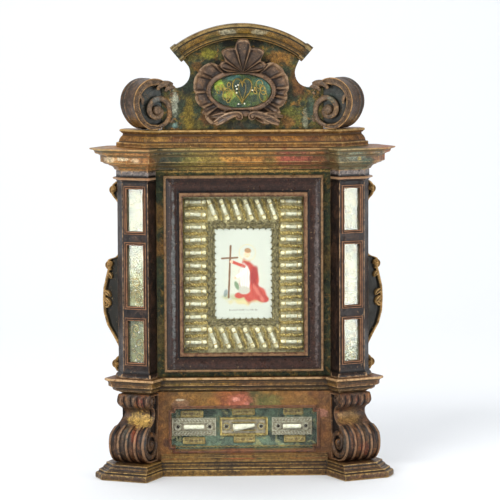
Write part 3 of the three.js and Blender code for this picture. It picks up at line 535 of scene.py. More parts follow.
def painted(name, paints, bare, glaze, patches=45.0, rub=0.9, vein=0.35, cracks=0.5,
            zones=None, zone_share=0.6, slant=0.35, level=0.0,
            bands=None, band_share=0.7, band_kind="MULTIPLY", spots=(),
            rough=(0.4, 0.66), coat=0.05, gloss=0.3, mottled=0.9, back=60.0):
    """Marbled or plain paint over gesso and wood: rubbed arrises, dark glaze in the quirks, a thin varnish.

    Colours are screen values. zones are (x in millimetres, red, green, blue) along the front;
    they lean by slant and keep their x at level, in metres. bands are (share of the profile, red, green, blue)
    across it, and spots are single ragged patches as in laid_spots. Behind back the wood is only stained."""
    material, tree, shader = new_material(name)
    place = node(tree, "TexCoord").outputs["Object"]
    relief = node(tree, "Attribute", attribute_name="relief").outputs["Fac"]
    split = node(tree, "SeparateXYZ", {"Vector": place}).outputs
    marbled = dabbed(tree, place, paints, patches, vein)
    colour = marbled["Colour"]
    if zones:
        drift = sums(tree, "MULTIPLY", sums(tree, "SUBTRACT", noise(tree, place, 34, 3, 0.5), 0.5), 0.03)
        lean = sums(tree, "MULTIPLY", split["Z"], slant)
        x = sums(tree, "ADD", sums(tree, "ADD", split["X"], drift), lean)
        half = ZONE_HALF * MM
        share = sums(tree, "DIVIDE", sums(tree, "ADD", x, half - slant * level), 2 * half)
        stops = [((at + ZONE_HALF) / (2 * ZONE_HALF), *shade) for at, *shade in zones]
        colour = blend(tree, zone_share, colour, ramp(tree, share, stops))
    if bands:
        across = node(tree, "Attribute", attribute_name="across").outputs["Fac"]
        colour = blend(tree, band_share, colour, ramp(tree, across, bands), band_kind)
    colour = laid_spots(tree, place, colour, spots)
    rear = fit_range(tree, split["Y"], (back - 1) * MM, (back + 1) * MM)
    colour = blend(tree, rear, colour, paint(*STAIN))
    colour = blend(tree, mottled, colour, marbled["Mottle"], "MULTIPLY")
    worn = node(tree, "Group", {"Vector": place, "Relief": relief, "Rub": rub, "Cracks": cracks},
                node_tree=weathering).outputs
    for where, shade in (("Deep", glaze), ("Flecks", bare), ("Bare", bare)):
        colour = blend(tree, worn[where], colour, paint(*shade))
    rise = node(tree, "Bump", {"Height": worn["Height"], "Strength": BUMP_SHARE, "Distance": BUMP_HEIGHT})
    set_inputs(tree, shader, {
        "Base Color": colour, "Roughness": fit_range(tree, noise(tree, place, 60, 4, 0.6), 0.3, 0.7, *rough),
        "Metallic": sums(tree, "MULTIPLY", worn["Bare"], BARE_METAL), "Normal": rise.outputs["Normal"],
        "Specular IOR Level": gloss, "Coat Weight": coat, "Coat Roughness": 0.22})
    return material


PLINTH_TOP = 20.3
PLINTH_REACH = (12.6, 12, 37.5, 38, 20)
PLINTH_BLOCK_REACH = (9, 8.6, 27, 22, 9)
PLINTH_RUN = 10.5  # how far the foot stands in front of the block it carries
plinth_line, plinth_relief = moulding([
    (-8, 0), (9.4, 0), bow((9.4, 0), (10.5, 1.4), 0.3), (10.5, 6),
    bow((10.3, 6.2), (8.4, 8.6), 0.5), (7.4, 8.8), (7.3, 9.6),
    bow((6.8, 9.8), (6.2, 11.8), 0.9), (4.9, 12.0), (4.8, 12.8),
    bow((4.2, 13.2), (3.0, 15.2), -0.7), (2.2, 15.4), (2.2, 16.4),
    bow((1.4, 16.8), (0.2, 19.2), -0.6), (0, 19.4), (0, PLINTH_TOP), (-9, PLINTH_TOP),
], 66)
plinth_paint = painted(
    "plinth_paint", [(92, 66, 28), (66, 46, 26), (112, 84, 40)], (178, 146, 88), (30, 22, 13),
    zones=[(-205, 88, 66, 44), (-150, 74, 52, 38), (-118, 120, 88, 36), (-60, 128, 96, 40), (-20, 58, 46, 34),
           (8, 118, 86, 36), (70, 110, 78, 34), (118, 84, 58, 34), (160, 96, 64, 42), (205, 104, 80, 50)],
    level=0.01, zone_share=0.62)
piece("plinth_moulding", [course(plinth_line, plinth_relief, PLINTH_RUN, PLINTH_REACH, PLINTH_BLOCK_REACH)],
      plinth_paint, "marbled_wood", "plinth")

# Ledge: the moulding that caps the predella and carries pilasters and window, planed in lengths and mitred
# round both blocks, then gessoed and marbled like the plinth.
CONSOLE_TOP, LEDGE_TOP = 113.7, 134.0
LEDGE_REACH = (11.7, 12.4, 14, 23, 11)
LEDGE_RUN = 14.0
ledge_line, ledge_relief = moulding([
    (-6, CONSOLE_TOP + GAP), (1.2, CONSOLE_TOP + GAP), bow((1.4, 114.2), (3.2, 116.6), -0.5), (5.8, 116.8),
    (5.9, 118), bow((6.2, 118.4), (9.4, 122.4), -0.9), (10.3, 122.6), (10.4, 127.6),
    bow((10.8, 127.9), (13.4, 130.9), -0.7), (14, 131.1), (14, 132.8), (13.4, LEDGE_TOP), (-9, LEDGE_TOP),
], 66)
ledge_paint = painted(
    "ledge_paint", [(112, 82, 38), (86, 58, 34), (134, 104, 60)], (196, 160, 116), (52, 40, 26), patches=30.0,
    zones=[(-205, 104, 72, 50), (-130, 120, 86, 48), (-100, 84, 78, 42), (-62, 150, 122, 62),
           (-30, 124, 96, 44), (0, 122, 82, 44), (60, 116, 84, 44), (100, 90, 66, 38), (150, 108, 74, 46),
           (205, 112, 76, 52)],
    bands=[(0.0, 150, 150, 120), (0.35, 190, 190, 150), (0.5, 255, 246, 210), (0.62, 255, 240, 200),
           (0.7, 205, 165, 150), (0.8, 235, 190, 170), (0.84, 150, 130, 118), (1.0, 130, 118, 106)],
    level=0.124, zone_share=0.5)
piece("ledge_course", [course(ledge_line, ledge_relief, LEDGE_RUN, LEDGE_REACH, seed=11)],
      ledge_paint, "marbled_wood", "ledge_moulding")

# Predella: the low relic case between plinth and ledge, of marbled boards with a moulded sill.
# A thin fillet with small squared ears frames its glazed opening.
PREDELLA_HALF, PREDELLA_LOW, PREDELLA_HIGH, PREDELLA_EAR = 98.5, 33.9, 90.8, 5.5


def node_finish(name, material):
    """Gives one of the part's own nodes its finish."""
    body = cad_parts[name]
    body.data.materials.clear()
    body.data.materials.append(material)


def front_place(flat, stand):
    """Points of the front plane, at (x, height) and a distance before the case front."""
    return np.stack([flat[..., 0], -np.broadcast_to(stand, flat.shape[:-1]), flat[..., 1]], axis=-1)


def block_place(across, ahead, height, side=1):
    """Points in a block's own directions: along its front from the inner corner, ahead of it, and up."""
    across, ahead, height = np.broadcast_arrays(across, ahead, height)
    plan = inner_corner + across[..., None] * ALONG + ahead[..., None] * AHEAD
    return np.stack([side * plan[..., 0], plan[..., 1], height], axis=-1)


def framed(base, reach, profile, relief, place, wave=0.12, chips=0.3, seed=1, spacing=2.5):
    """A mitred frame: a closed profile of (outward distance, stand) swept round a run of corners."""
    flat, far, corner_relief = mitred(base, reach, profile[:, 0], spacing)
    points = place(flat, profile[:, 1, None])
    marks = np.clip(relief[:, None] + 0.6 * corner_relief[None] * (relief[:, None] > -0.2), -1, 1)
    share = np.clip((profile[:, :1] - profile[:, 0].min()) / np.ptp(profile[:, 0]), 0, 1)
    return carved(points, marks, wave, chips, seed, far, share, loop=True)


def beam(relief, places, along, wave=0.15, chips=0.4, seed=1):
    """A straight or bent length: rows of one closed section, with filled ends."""
    return carved(places, relief, wave, chips, seed, along[:, None], np.linspace(0, 1, places.shape[1]))


def eared_outline(grow):
    """The opening's outline, anticlockwise, with a small square out of each corner."""
    half, low, high = PREDELLA_HALF + grow, PREDELLA_LOW - grow, PREDELLA_HIGH + grow
    near = half - PREDELLA_EAR
    return np.array([
        (near, low), (near, low + PREDELLA_EAR), (half, low + PREDELLA_EAR),
        (half, high - PREDELLA_EAR), (near, high - PREDELLA_EAR), (near, high),
        (-near, high), (-near, high - PREDELLA_EAR), (-half, high - PREDELLA_EAR),
        (-half, low + PREDELLA_EAR), (-near, low + PREDELLA_EAR), (-near, low),
    ])


predella_paint = painted(
    "predella_paint", [(134, 94, 42), (96, 74, 42), (154, 112, 58)], (196, 158, 106), (40, 30, 18),
    patches=34.0, mottled=0.55,
    zones=[(-130, 96, 66, 52), (-112, 128, 78, 42), (-80, 110, 76, 34), (-36, 126, 90, 38),
           (-26, 150, 74, 50), (6, 144, 66, 44), (14, 70, 80, 46), (44, 120, 86, 38), (96, 112, 62, 38),
           (118, 122, 78, 52), (130, 90, 62, 48)], level=0.065, zone_share=0.5, slant=0.1,
    spots=[(-84, 98, 12, 7, 124, 94, 74, 0.6), (-86, 103, 7, 1.5, 196, 180, 150, 0.7),
           (-40, 100, 9, 9, 158, 106, 50, 0.6), (-6, 100, 20, 10, 164, 92, 72, 0.7),
           (-12, 103, 6, 3, 206, 140, 120, 0.7), (4, 97, 5, 2.5, 200, 128, 108, 0.6),
           (34, 100, 18, 10, 96, 98, 52, 0.7), (78, 100, 22, 9, 136, 100, 50, 0.5),
           (106, 84, 8, 6, 186, 128, 108, 0.6), (-104, 46, 8, 7, 70, 42, 32, 0.7),
           (106, 60, 8, 16, 112, 70, 40, 0.5)])
node_finish("predella_body", predella_paint)
fillet_line, fillet_relief = moulding([
    (0, 1), (0, 3.2), bow((0.1, 3.6), (1.5, 4.8), -0.4), (2.0, 4.0), bow((2.2, 4.0), (3.7, 3.9), -0.4),
    (3.8, 1),
], 28, soft=0.15, closed=True)
ears = eared_outline(0)
fillet_paint = painted(
    "fillet_paint", [(84, 56, 44), (66, 46, 40), (104, 58, 38)], (158, 112, 82), (30, 20, 14), patches=50.0,
    vein=0.1, rub=0.6)
piece("predella_fillet",
      [framed(ears, eared_outline(1) - ears, fillet_line, fillet_relief, front_place, 0.06, 0.2)],
      fillet_paint, "marbled_wood")
SILL_HALF = 112.3
sill_line, sill_relief = moulding([
    (0, 20.9), (8.2, 20.9), bow((8.9, 21.2), (8.9, 25.2), -0.5), (7.9, 25.4), (7.8, 26.0),
    ogee((7.4, 26.2), (4.4, 28.6), 0.4), (4.3, 29.0), (0, 29.0),
], 40, soft=0.18, closed=True)
sill_x = np.linspace(-SILL_HALF, SILL_HALF, 120)
sill_places = np.stack(np.broadcast_arrays(sill_x[:, None], -sill_line[None, :, 0],
                                           sill_line[None, :, 1]), axis=-1)
piece("predella_sill", [beam(sill_relief, sill_places, sill_x, seed=31)], plinth_paint, "marbled_wood")

# Glass: thin old panes set in rebates behind their frames, clear with a faint green cast. Light for the
# shadows passes straight through.
def glazing(name, bend, rough):
    """Clear glass of a refractive index and roughness; shadow rays pass straight through."""
    material, tree, shader = new_material(name)
    set_inputs(tree, shader,
               {"Base Color": (0.96, 0.99, 0.97, 1), "Transmission Weight": 1.0, "Roughness": rough,
                              "IOR": bend})
    clear = node(tree, "BsdfTransparent", {"Color": (0.97, 0.99, 0.98, 1)})
    shadow_ray = node(tree, "LightPath").outputs["Is Shadow Ray"]
    pane = node(tree, "MixShader", {0: shadow_ray, 1: shader.outputs[0], 2: clear.outputs[0]})
    set_inputs(tree, tree.nodes["Material Output"], {"Surface": pane.outputs[0]})
    return material


front_glass = glazing("front_glass", 1.2, 0.02)
niche_glass = glazing("niche_glass", 1.42, 0.09)
for name in ("window_glass", "predella_glass", "cartouche_glass"):
    node_finish(name, front_glass)
for level in ("low", "middle", "high"):
    for side in ("left", "right"):
        node_finish(f"niche_glass_{level}_{side}", niche_glass)


# Marbled papers: sheets of paste paper in teal, green and rust, glued flat to the backs of the glazed
# recesses and a little stained at their edges.
def marbled_sheet(name, paints, patches, spots=()):
    """Matt paper with dabbed colours, dark veins, and single soft-edged patches as for painted wood."""
    material, tree, shader = new_material(name)
    place = node(tree, "TexCoord").outputs["Object"]
    marbled = dabbed(tree, place, paints, patches, 0.7)
    colour = laid_spots(tree, place, marbled["Colour"], spots)
    colour = blend(tree, 0.7, colour, marbled["Mottle"], "MULTIPLY")
    set_inputs(tree, shader, {"Base Color": colour, "Roughness": 0.8})
    return material


teal_sheet = marbled_sheet("teal_paper", [(88, 104, 84), (48, 60, 50), (134, 130, 88)], 50.0)
node_finish("predella_paper", teal_sheet)
green_sheet = marbled_sheet(
    "green_paper", [(58, 78, 32), (26, 44, 34), (98, 104, 38)], 60.0,
    [(-32, 526, 6, 9, 132, 148, 42, 0.85), (-19, 514, 8, 7, 146, 152, 52, 0.8),
     (-24, 519, 4, 4, 36, 60, 40, 0.8), (-12, 536, 10, 4, 50, 88, 84, 0.8), (26, 532, 10, 6, 44, 78, 78, 0.8),
     (30, 520, 7, 9, 60, 92, 84, 0.7), (-30, 516, 4, 4, 30, 58, 80, 0.7), (6, 524, 8, 10, 30, 44, 48, 0.8),
     (14, 508, 14, 5, 30, 44, 28, 0.7)])
node_finish("cartouche_paper", green_sheet)
pale_sheet = marbled_sheet(
    "pale_paper", [(168, 170, 136), (128, 134, 100), (184, 178, 134)], 70.0,
    [(-146, 180, 14, 36, 92, 92, 40, 0.9), (-146, 246, 13, 14, 120, 112, 62, 0.7)])
for level in ("low", "middle", "high"):
    for side in ("left", "right"):
        node_finish(f"niche_paper_{level}_{side}", pale_sheet)


# Relic mounts: three strips of silver lace on the blue-green paper, each with a paper roll bound in gilt
# wire, and six small paper slips with gold edges over and under them.
def along_of(path):
    """The distance along a path at each of its points."""
    return np.concatenate([[0], np.cumsum(np.linalg.norm(np.diff(path, axis=0), axis=1))])


def aside_of(path):
    """Unit steps to the left of a path at each of its points."""
    tangent = np.gradient(path, axis=0)
    tangent /= np.linalg.norm(tangent, axis=1)[:, None] + 1e-9
    return np.stack([-tangent[:, 1], tangent[:, 0]], axis=1)


def round_points(angle, far=1.0):
    """Points at angles and distances from a middle."""
    return np.stack([far * np.cos(angle), far * np.sin(angle)], axis=-1)


def swept(path, half, rise, section, base=0.0):
    """A band laid along a path in its own plane, its section within -1 to 1 scaled to half and rise."""
    half, rise = (np.broadcast_to(value, len(path)) for value in (half, rise))
    flat = path[:, None] + aside_of(path)[:, None] * (section[None, :, 0, None] * half[:, None, None])
    height = base + section[None, :, 1] * rise[:, None]
    return np.concatenate([flat, np.broadcast_to(height, flat.shape[:2])[..., None]], axis=2)


def wire(path, radius, height, place, sides=6, relief=0.6):
    """A wire along a path in a plane, its ends rounded off; height is its middle's height over the plane."""
    count = len(path)
    t = np.arange(count)
    ends = np.sqrt(np.clip(np.minimum(t + 0.3, count - 0.7 - t) / 2, 0.02, 1))
    section = round_points(np.linspace(0, 2 * np.pi, sides, endpoint=False))
    rod = swept(path, radius * ends, radius * ends, section)
    rod[..., 2] += np.broadcast_to(height, (count,))[:, None]
    return shell(place(rod), relief, t[:, None], np.linspace(0, 1, sides))


def cord(path, radius, height, place, pitch, sides=5):
    """Two strands wound round one another along a path."""
    made = []
    for strand in (0, 0.5):
        phase = 2 * np.pi * (along_of(path) / pitch + strand)
        off = path + aside_of(path) * (np.cos(phase) * radius * 0.62)[:, None]
        made.append(wire(off, radius * 0.6, height + np.sin(phase) * radius * 0.62, place, sides))
    return made


def curl(centre, outer, inner, turns, start, way=1, count=40):
    """A spiral path from its outer radius to its inner one."""
    t = np.linspace(0, 1, count)
    angle = np.radians(start) + way * 2 * np.pi * turns * t
    return np.array(centre) + round_points(angle, outer + (inner - outer) * t ** 0.8)


def bead(centre, radius, rows=7, sides=10, tone=0.0):
    """A small ball; tone is its share across the paint's bands."""
    polar = np.linspace(0.12, np.pi - 0.12, rows)[:, None]
    turn = np.linspace(0, 2 * np.pi, sides, endpoint=False)[None]
    ball = np.stack(np.broadcast_arrays(np.sin(polar) * np.cos(turn), np.sin(polar) * np.sin(turn),
                                        np.cos(polar)), -1)
    return shell(np.array(centre) + ball * radius, 0.5, 0.0, tone)


def slip(x0, x1, z0, z1, front, back, waves=0.0, seed=1):
    """A thin card, a little wavy, between two distances before the case front."""
    x, z = np.meshgrid(np.linspace(x0, x1, 12), np.linspace(z0, z1, 6), indexing="ij")
    lift = waves * grain(np.stack([x, 0 * x, z], -1), 9.0, seed)
    face = np.stack([x, -(front + lift), z], -1)
    rear = np.stack([x, -(back + lift), z], -1)
    return shell(np.concatenate([face, rear[:, ::-1]], axis=1))


def plane_place(depth):
    """Places (x, height, rise) points in the front plane at a distance behind the case front."""
    return lambda rod: np.stack([rod[..., 0], depth - rod[..., 2], rod[..., 1]], axis=-1)


def plain(name, colour, rough, metal=0.0, speck=0.0, scale=300.0, second=None):
    """A plain material, broken by a fine mottle towards a second colour."""
    material, tree, shader = new_material(name)
    colour = paint(*colour)
    if speck:
        place = node(tree, "TexCoord").outputs["Object"]
        share = fit_range(tree, noise(tree, place, scale, 4, 0.7), 0.35, 0.65, 0.0, speck)
        colour = blend(tree, share, colour, paint(*second))
    set_inputs(tree, shader, {"Base Color": colour, "Roughness": rough, "Metallic": metal})
    return material


gold_wire = plain("gold_wire", (206, 184, 118), 0.33, 0.75, 0.8, 420, (122, 98, 50))
silver_wire = plain("silver_wire", (206, 200, 180), 0.34, 0.6, 0.8, 420, (132, 120, 94))
dull_silver = plain("dull_silver", (160, 148, 126), 0.5, 0.2, 0.9, 220, (104, 92, 72))
bright_silver = plain("bright_silver", (214, 208, 188), 0.3, 0.5, 0.6, 420, (150, 140, 112))
roll_paper = plain("roll_paper", (212, 208, 188), 0.45, 0.1, 0.9, 200, (150, 142, 112))
silk_white = plain("silk_paper", (216, 212, 194), 0.62, 0.0, 0.7, 260, (176, 168, 140))
written_slip = plain("written_slip", (176, 154, 96), 0.5, 0.3, 0.9, 260, (96, 76, 42))
ink = plain("ink", (44, 34, 26), 0.8)
PAPER_Y = 8.9
mount_place = plane_place(PAPER_Y)
lace, gilt_lace, plates, lace_beads, dark_hubs, rolls, slips, slip_edges, strokes = ([] for _ in range(9))
MOUNTS = ((-98, -38, silver_wire), (-32.5, 31.5, gold_wire), (37.5, 92, silver_wire))
MOUNT_LOW, MOUNT_HIGH = 52.6, 76.8
for number, (low, high, thread) in enumerate(MOUNTS):
    middle, half = (low + high) / 2, (high - low) / 2
    mid_z = (MOUNT_LOW + MOUNT_HIGH) / 2
    gilt = thread is gold_wire
    own = gilt_lace if gilt else lace
    plates.append(slip(middle - half, middle + half, MOUNT_LOW, MOUNT_HIGH, -7.6, -8.6, 0.3, number))
    x = np.linspace(middle - half, middle + half, 150)
    z = np.linspace(MOUNT_LOW, MOUNT_HIGH, 60)
    for way, edge_z in ((-1, MOUNT_LOW + 1.0), (1, MOUNT_HIGH - 1.0)):
        own += cord(np.stack([x, edge_z + 0.5 * np.sin(x * 1.3)], 1), 1.5 if gilt else 0.8, 2.3,
                    mount_place, 3.6)
        if not gilt:
            own += cord(np.stack([x, edge_z - way * 5.0 + 0.3 * np.sin(x)], 1), 0.8, 2.2, mount_place, 3.0)
            zigzag = edge_z - way * (2.5 + 1.7 * np.arcsin(np.sin(x * 1.5)) / 1.57)
            own.append(wire(np.stack([x, zigzag], 1), 0.42, 2.0, mount_place, 5))
            for at in np.arange(middle - half + 2, middle + half - 1, 4.2):
                lace_beads.append(bead((at, PAPER_Y - 2.6, edge_z - way * 2.5), 0.95))
    for side in (-1, 1):
        own += cord(np.stack([np.full(60, middle + side * (half - 1.0)), z], 1), 1.5 if gilt else 0.9, 2.3,
                    mount_place, 3.6)
        hub = np.array((middle + side * (half - 8.5), mid_z))
        own.append(wire(curl(hub, 4.6, 4.2, 1.0, 0, 1), 0.7, 2.2, mount_place))
        for petal in range(8):
            angle = np.pi * petal / 4
            spot = hub + round_points(angle, 3.0)
            lace_beads.append(bead((spot[0], PAPER_Y - 2.4, spot[1]), 0.75))
        dark_hubs.append(bead((hub[0], PAPER_Y - 1.8, hub[1]), 2.1))
    roll_half = half * 0.46
    x = np.linspace(-roll_half, roll_half, 60)
    lean = 0.13 if gilt else 0.0
    girth = (3.5 if gilt else 2.9) + 0.3 * np.abs(np.sin(x * 0.8))
    girth = girth * (1 - 0.4 * x / roll_half * gilt)
    rolls.append(wire(np.stack([middle + x, mid_z + x * lean], 1), girth, 5.0, mount_place, 16, 0.0))
    for up in (-1, 1):
        line = np.stack([middle + np.linspace(-roll_half - 2, roll_half + 2, 70),
                         np.full(70, mid_z + up * 5.4)], 1)
        own += cord(line, 0.8, 2.6, mount_place, 2.8)
SLIPS = ((-70.5, 82.0, 29, 8.0), (-1.0, 84.4, 29.5, 7.6), (66.5, 84.6, 25.5, 7.8),
         (-68, 45.6, 28.8, 8.0), (0.3, 47.0, 27.6, 7.8), (68.4, 47.0, 28, 8.0))
for number, (x, z, width, tall) in enumerate(SLIPS):
    slips.append(slip(x - width / 2, x + width / 2, z - tall / 2, z + tall / 2, -7.9, -8.5, 0.25,
                      50 + number))
    for up in (-1, 1):
        line = np.stack([np.linspace(x - width / 2, x + width / 2, 60), np.full(60, z + up * tall / 2)], 1)
        slip_edges += cord(line, 0.75, 1.3, mount_place, 2.2)
    for side in (-1, 1):
        line = np.stack([np.full(20, x + side * width / 2), np.linspace(z - tall / 2, z + tall / 2, 20)], 1)
        slip_edges += cord(line, 0.75, 1.3, mount_place, 2.2)
    chance = np.random.default_rng(70 + number)
    at = x - width / 2 + 2.5
    while at < x + width / 2 - 2.5:
        lean, tall_stroke = chance.uniform(-0.5, 0.7), chance.uniform(1.4, 3.4)
        t = np.linspace(0, 1, 6)
        mark = np.stack([at + lean * t + 0.25 * np.sin(t * 6), z + tall_stroke * (t - 0.5)], 1)
        strokes.append(wire(mark, 0.4, 1.1, mount_place, 4))
        at += chance.uniform(1.3, 2.6)
x = np.linspace(-96, 96, 420)
low_trim = np.stack([x, 36.4 + 1.5 * np.abs(np.sin(x * np.pi / 5.2))], 1)
slip_edges += cord(low_trim, 0.6, 1.2, mount_place, 2.2)
piece("lace_silver", lace, silver_wire, "silver_lace", "relic_mount_left", "relic_mount_right")
piece("lace_gold", gilt_lace, gold_wire, "silver_lace", "relic_mount_centre")
piece("mount_plates", plates, dull_silver, "silver_lace")
piece("lace_beads", lace_beads, bright_silver, "silver_lace")
piece("rosette_hubs", dark_hubs, ink, "silver_lace")
piece("mount_rolls", rolls, silk_white, "paper_rolls")
piece("written_slips", slips, written_slip, "relic_card")
piece("slip_edges", slip_edges, gold_wire, "gold_braid")
piece("slip_strokes", strokes, ink, "relic_card")

# Consoles: an S scroll in carved lime at each front corner, its front cut in four channels between copper
# ridges, a raised rim round each cheek and the lower volute's band wound in to an eye.
CONSOLE_BACK, CONSOLE_WIDTH, CONSOLE_START, CONSOLE_SPLAY = -19.6, 47.0, -5.0, 2.0
LOWER_SPREAD, UPPER_SPREAD = 5.0, 2.0
LOWER_VOLUTE = (0.0, 46.6, 26.0)
UPPER_VOLUTE = (-1.5, 104.5, 11.0)
CONSOLE_FLUTES = 4


def arc(centre, radius, start, end, count):
    """Points of an arc, its angles in degrees."""
    return np.array(centre) + round_points(np.radians(np.linspace(start, end, count)), radius)


def bent(a, b, c, d, count):
    """Points of a cubic curve from a to d, drawn toward b and c."""
    t = np.linspace(0, 1, count)[:, None]
    a, b, c, d = (np.array(point, float) for point in (a, b, c, d))
    return a * (1 - t) ** 3 + 3 * b * t * (1 - t) ** 2 + 3 * c * t ** 2 * (1 - t) + d * t ** 3


def evened(line, count):
    """The same closed line with evenly spaced points."""
    line = np.vstack([line, line[:1]])
    far = along_of(line)
    at = np.linspace(0, far[-1], count + 1)[:count]
    return np.stack([np.interp(at, far, line[:, k]) for k in (0, 1)], axis=1)


def ring_inset(ring, distance):
    """A closed anticlockwise ring moved inward."""
    tangent = np.roll(ring, -1, axis=0) - np.roll(ring, 1, axis=0)
    tangent /= np.linalg.norm(tangent, axis=1)[:, None]
    inward = np.stack([-tangent[:, 1], tangent[:, 0]], axis=1)
    return ring + inward * np.broadcast_to(distance, len(ring))[:, None]


low_arc = arc(LOWER_VOLUTE[:2], LOWER_VOLUTE[2], -90, 70, 60)
high_arc = arc(UPPER_VOLUTE[:2], UPPER_VOLUTE[2], -62, 56, 26)
neck = bent(low_arc[-1], low_arc[-1] + (-17, 4.5), high_arc[0] + (-14, -3), high_arc[0], 40)[1:-1]
console_top = CONSOLE_TOP - GAP
console_low = PLINTH_TOP + GAP
console_ring = evened(np.vstack([
    (CONSOLE_BACK, console_low), low_arc, neck, high_arc, (4, console_top), (CONSOLE_BACK, console_top),
]), 230)
console_ring = smoothed(console_ring, 0.35, 1.2, True)
q_ring, z_ring = console_ring.T
on_front = np.clip((q_ring + 16.5) / 4, 0, 1) * np.clip((console_top - 1.0 - z_ring) / 3, 0, 1)
on_low = np.clip((q_ring - 3) / 6, 0, 1) * np.clip((84 - z_ring) / 6, 0, 1)
on_high = on_front * np.clip((z_ring - 93) / 3, 0, 1)


def console_across(share, z):
    """Distance along the block's front of a share of the console's width at a height."""
    lower = np.clip((86 - z) / 26, 0, 1)
    upper = np.clip((z - 94) / 8, 0, 1)
    width = CONSOLE_WIDTH + LOWER_SPREAD * lower + UPPER_SPREAD * upper
    return CONSOLE_START + CONSOLE_SPLAY * lower + width * share


def fluting(share, flutes, ridge):
    """Depth 0 to 1 in each channel across, and the relief: near 1 on the ridges between."""
    cell = (share - ridge / 2) / (1 - ridge) * flutes
    u = np.clip(cell - np.floor(cell), 0, 1)
    wall = ridge * flutes / (1 - ridge) / 2
    inside = np.clip((u - wall) / (1 - 2 * wall), 0, 1)
    inside = np.where((share < ridge * 0.6) | (share > 1 - ridge * 0.6), 0, inside)
    depth = np.sin(np.pi * inside) ** 0.75
    relief = np.where(depth < 0.25, 1 - depth * 4, 0) - 0.9 * np.exp(-((depth - 0.45) / 0.16) ** 2)
    return depth, relief


console_share = np.linspace(0, 1, 78)
flute_depth, flute_relief = fluting(console_share, CONSOLE_FLUTES, 0.06)
FLUTE_DEPTH = 2.5
lobe_at = np.abs(np.sin(np.pi * CONSOLE_FLUTES * 1.25 * console_share))
lobe_depth = (1 - lobe_at ** 0.6) * 2.6
lobe_relief = 0.9 * np.clip((lobe_at - 0.85) / 0.15, 0, 1) - np.clip((0.45 - lobe_at) / 0.45, 0, 1)
RIM, SINK = 2.6, 4.6  # width of the raised rim round a cheek, and how deep the cheek lies behind it
arris = 1.3 * np.exp(-console_share / 0.012) + 1.3 * np.exp(-(1 - console_share) / 0.012)
BAND_SECTION = np.array([(-1, -1), (-1, 0.3), (-0.82, 0.86), (-0.58, 1.0), (-0.3, 0.7), (0, 0.56), (0.3, 0.7),
                         (0.58, 1.0), (0.82, 0.86), (1, 0.3), (1, -1)])
BAND_RELIEF = np.array([-0.6, 0.1, 0.8, 1, 0.1, -0.5, 0.1, 1, 0.8, 0.1, -0.6])
DOME_SECTION = np.array([(-1, -1), (-1, 0.1), (-0.9, 0.5), (-0.7, 0.82), (-0.4, 0.96), (0, 1.0), (0.4, 0.94),
                         (0.7, 0.8), (0.9, 0.5), (1, 0.1), (1, -1)])
DOME_RELIEF = np.array([-0.8, -0.5, 0.2, 0.55, 0.5, 0.35, 0.5, 0.55, 0.2, -0.5, -0.8])


def console(side):
    """One console: the fluted body with sunk cheeks, and the wound bands of both volutes on each cheek."""
    cheek = ((1.4, 0.0, 1.0), (RIM, 0.2, 0.9), (RIM + 0.5, SINK * 0.6, -0.6), (RIM + 0.8, SINK, -1.0))
    rings = [(0.0, *ring) for ring in cheek[::-1]]  # share across, inset, sink, relief
    for share, depth, relief, lobed, lobe_mark, ease in zip(
            console_share, flute_depth, flute_relief, lobe_depth, lobe_relief, arris):
        rings.append((share, depth * FLUTE_DEPTH * on_low + lobed * on_high + ease, 0.0,
                      relief * on_low + lobe_mark * on_high + 0.9 * min(1.0, ease) * on_front))
    rings += [(1.0, inset, -sink, mark) for inset, sink, mark in cheek]
    rows = []
    for share, inset, sink, _ in rings:
        ring = ring_inset(console_ring, inset)
        rows.append(block_place(console_across(share, z_ring) + sink, ring[:, 0], ring[:, 1], side))
    marks = np.stack([np.broadcast_to(mark, len(z_ring)) for *_, mark in rings])
    shares = np.array([share for share, *_ in rings])[:, None]
    worked = hand_worked(np.stack(rows), marks, False, 0.18, 0.5, 41 + side)
    made = [shell(worked, np.clip(marks, -1, 1), np.linspace(0, 1, len(z_ring)), shares)]
    for share, way in ((0.0, 1), (1.0, -1)):
        for (q, z, radius), turns, start, sense in ((LOWER_VOLUTE, 1.7, 70, -1), (UPPER_VOLUTE, 1.2, -60, 1)):
            t = np.linspace(0, 1, 84)
            angle = np.radians(start) + sense * 2 * np.pi * turns * t
            far = (radius - 4.2) * (1 - t) ** 0.9 + radius * 0.14 * t
            path = np.array((q, z)) + round_points(angle, far)
            half = radius * (0.165 - 0.075 * t)
            rod = swept(path, half, SINK * (0.95 - 0.3 * t), DOME_SECTION, -SINK * 0.5)
            across = console_across(share, rod[..., 1]) + way * (SINK * 0.02 - rod[..., 2])
            band = block_place(across, rod[..., 0], rod[..., 1], side)
            made.append(carved(band, DOME_RELIEF, 0.08, 0.25, 45, t[:, None], 0.5))
            eye = block_place(console_across(share, z) + way * SINK * 0.4, q, z, side)
            made.append(bead(eye, radius * 0.2, 10, 20))
    return made


console_paint = painted(
    "console_paint", [(96, 72, 50), (70, 56, 46), (118, 84, 52)], (158, 122, 90), (30, 22, 18), patches=36.0,
    vein=0.15, rub=0.7,
    spots=[(-140, 79, 17, 10, 186, 150, 78, 0.85), (140, 80, 15, 9, 150, 116, 64, 0.6),
           (-158, 60, 5, 12, 52, 66, 64, 0.6), (-136, 52, 4, 12, 60, 74, 80, 0.5),
           (-148, 58, 5, 9, 128, 52, 30, 0.6), (136, 50, 5, 12, 70, 70, 62, 0.5),
           (160, 40, 7, 10, 124, 56, 36, 0.5), (-140, 104, 6, 7, 116, 56, 38, 0.6),
           (152, 104, 6, 7, 110, 60, 40, 0.5)],
    bands=[(0.0, 255, 225, 190), (0.1, 205, 165, 145), (0.28, 225, 155, 125), (0.45, 240, 205, 180),
           (0.55, 185, 190, 185), (0.72, 195, 190, 190), (0.82, 210, 185, 185), (1.0, 255, 222, 190)],
    band_share=0.6)
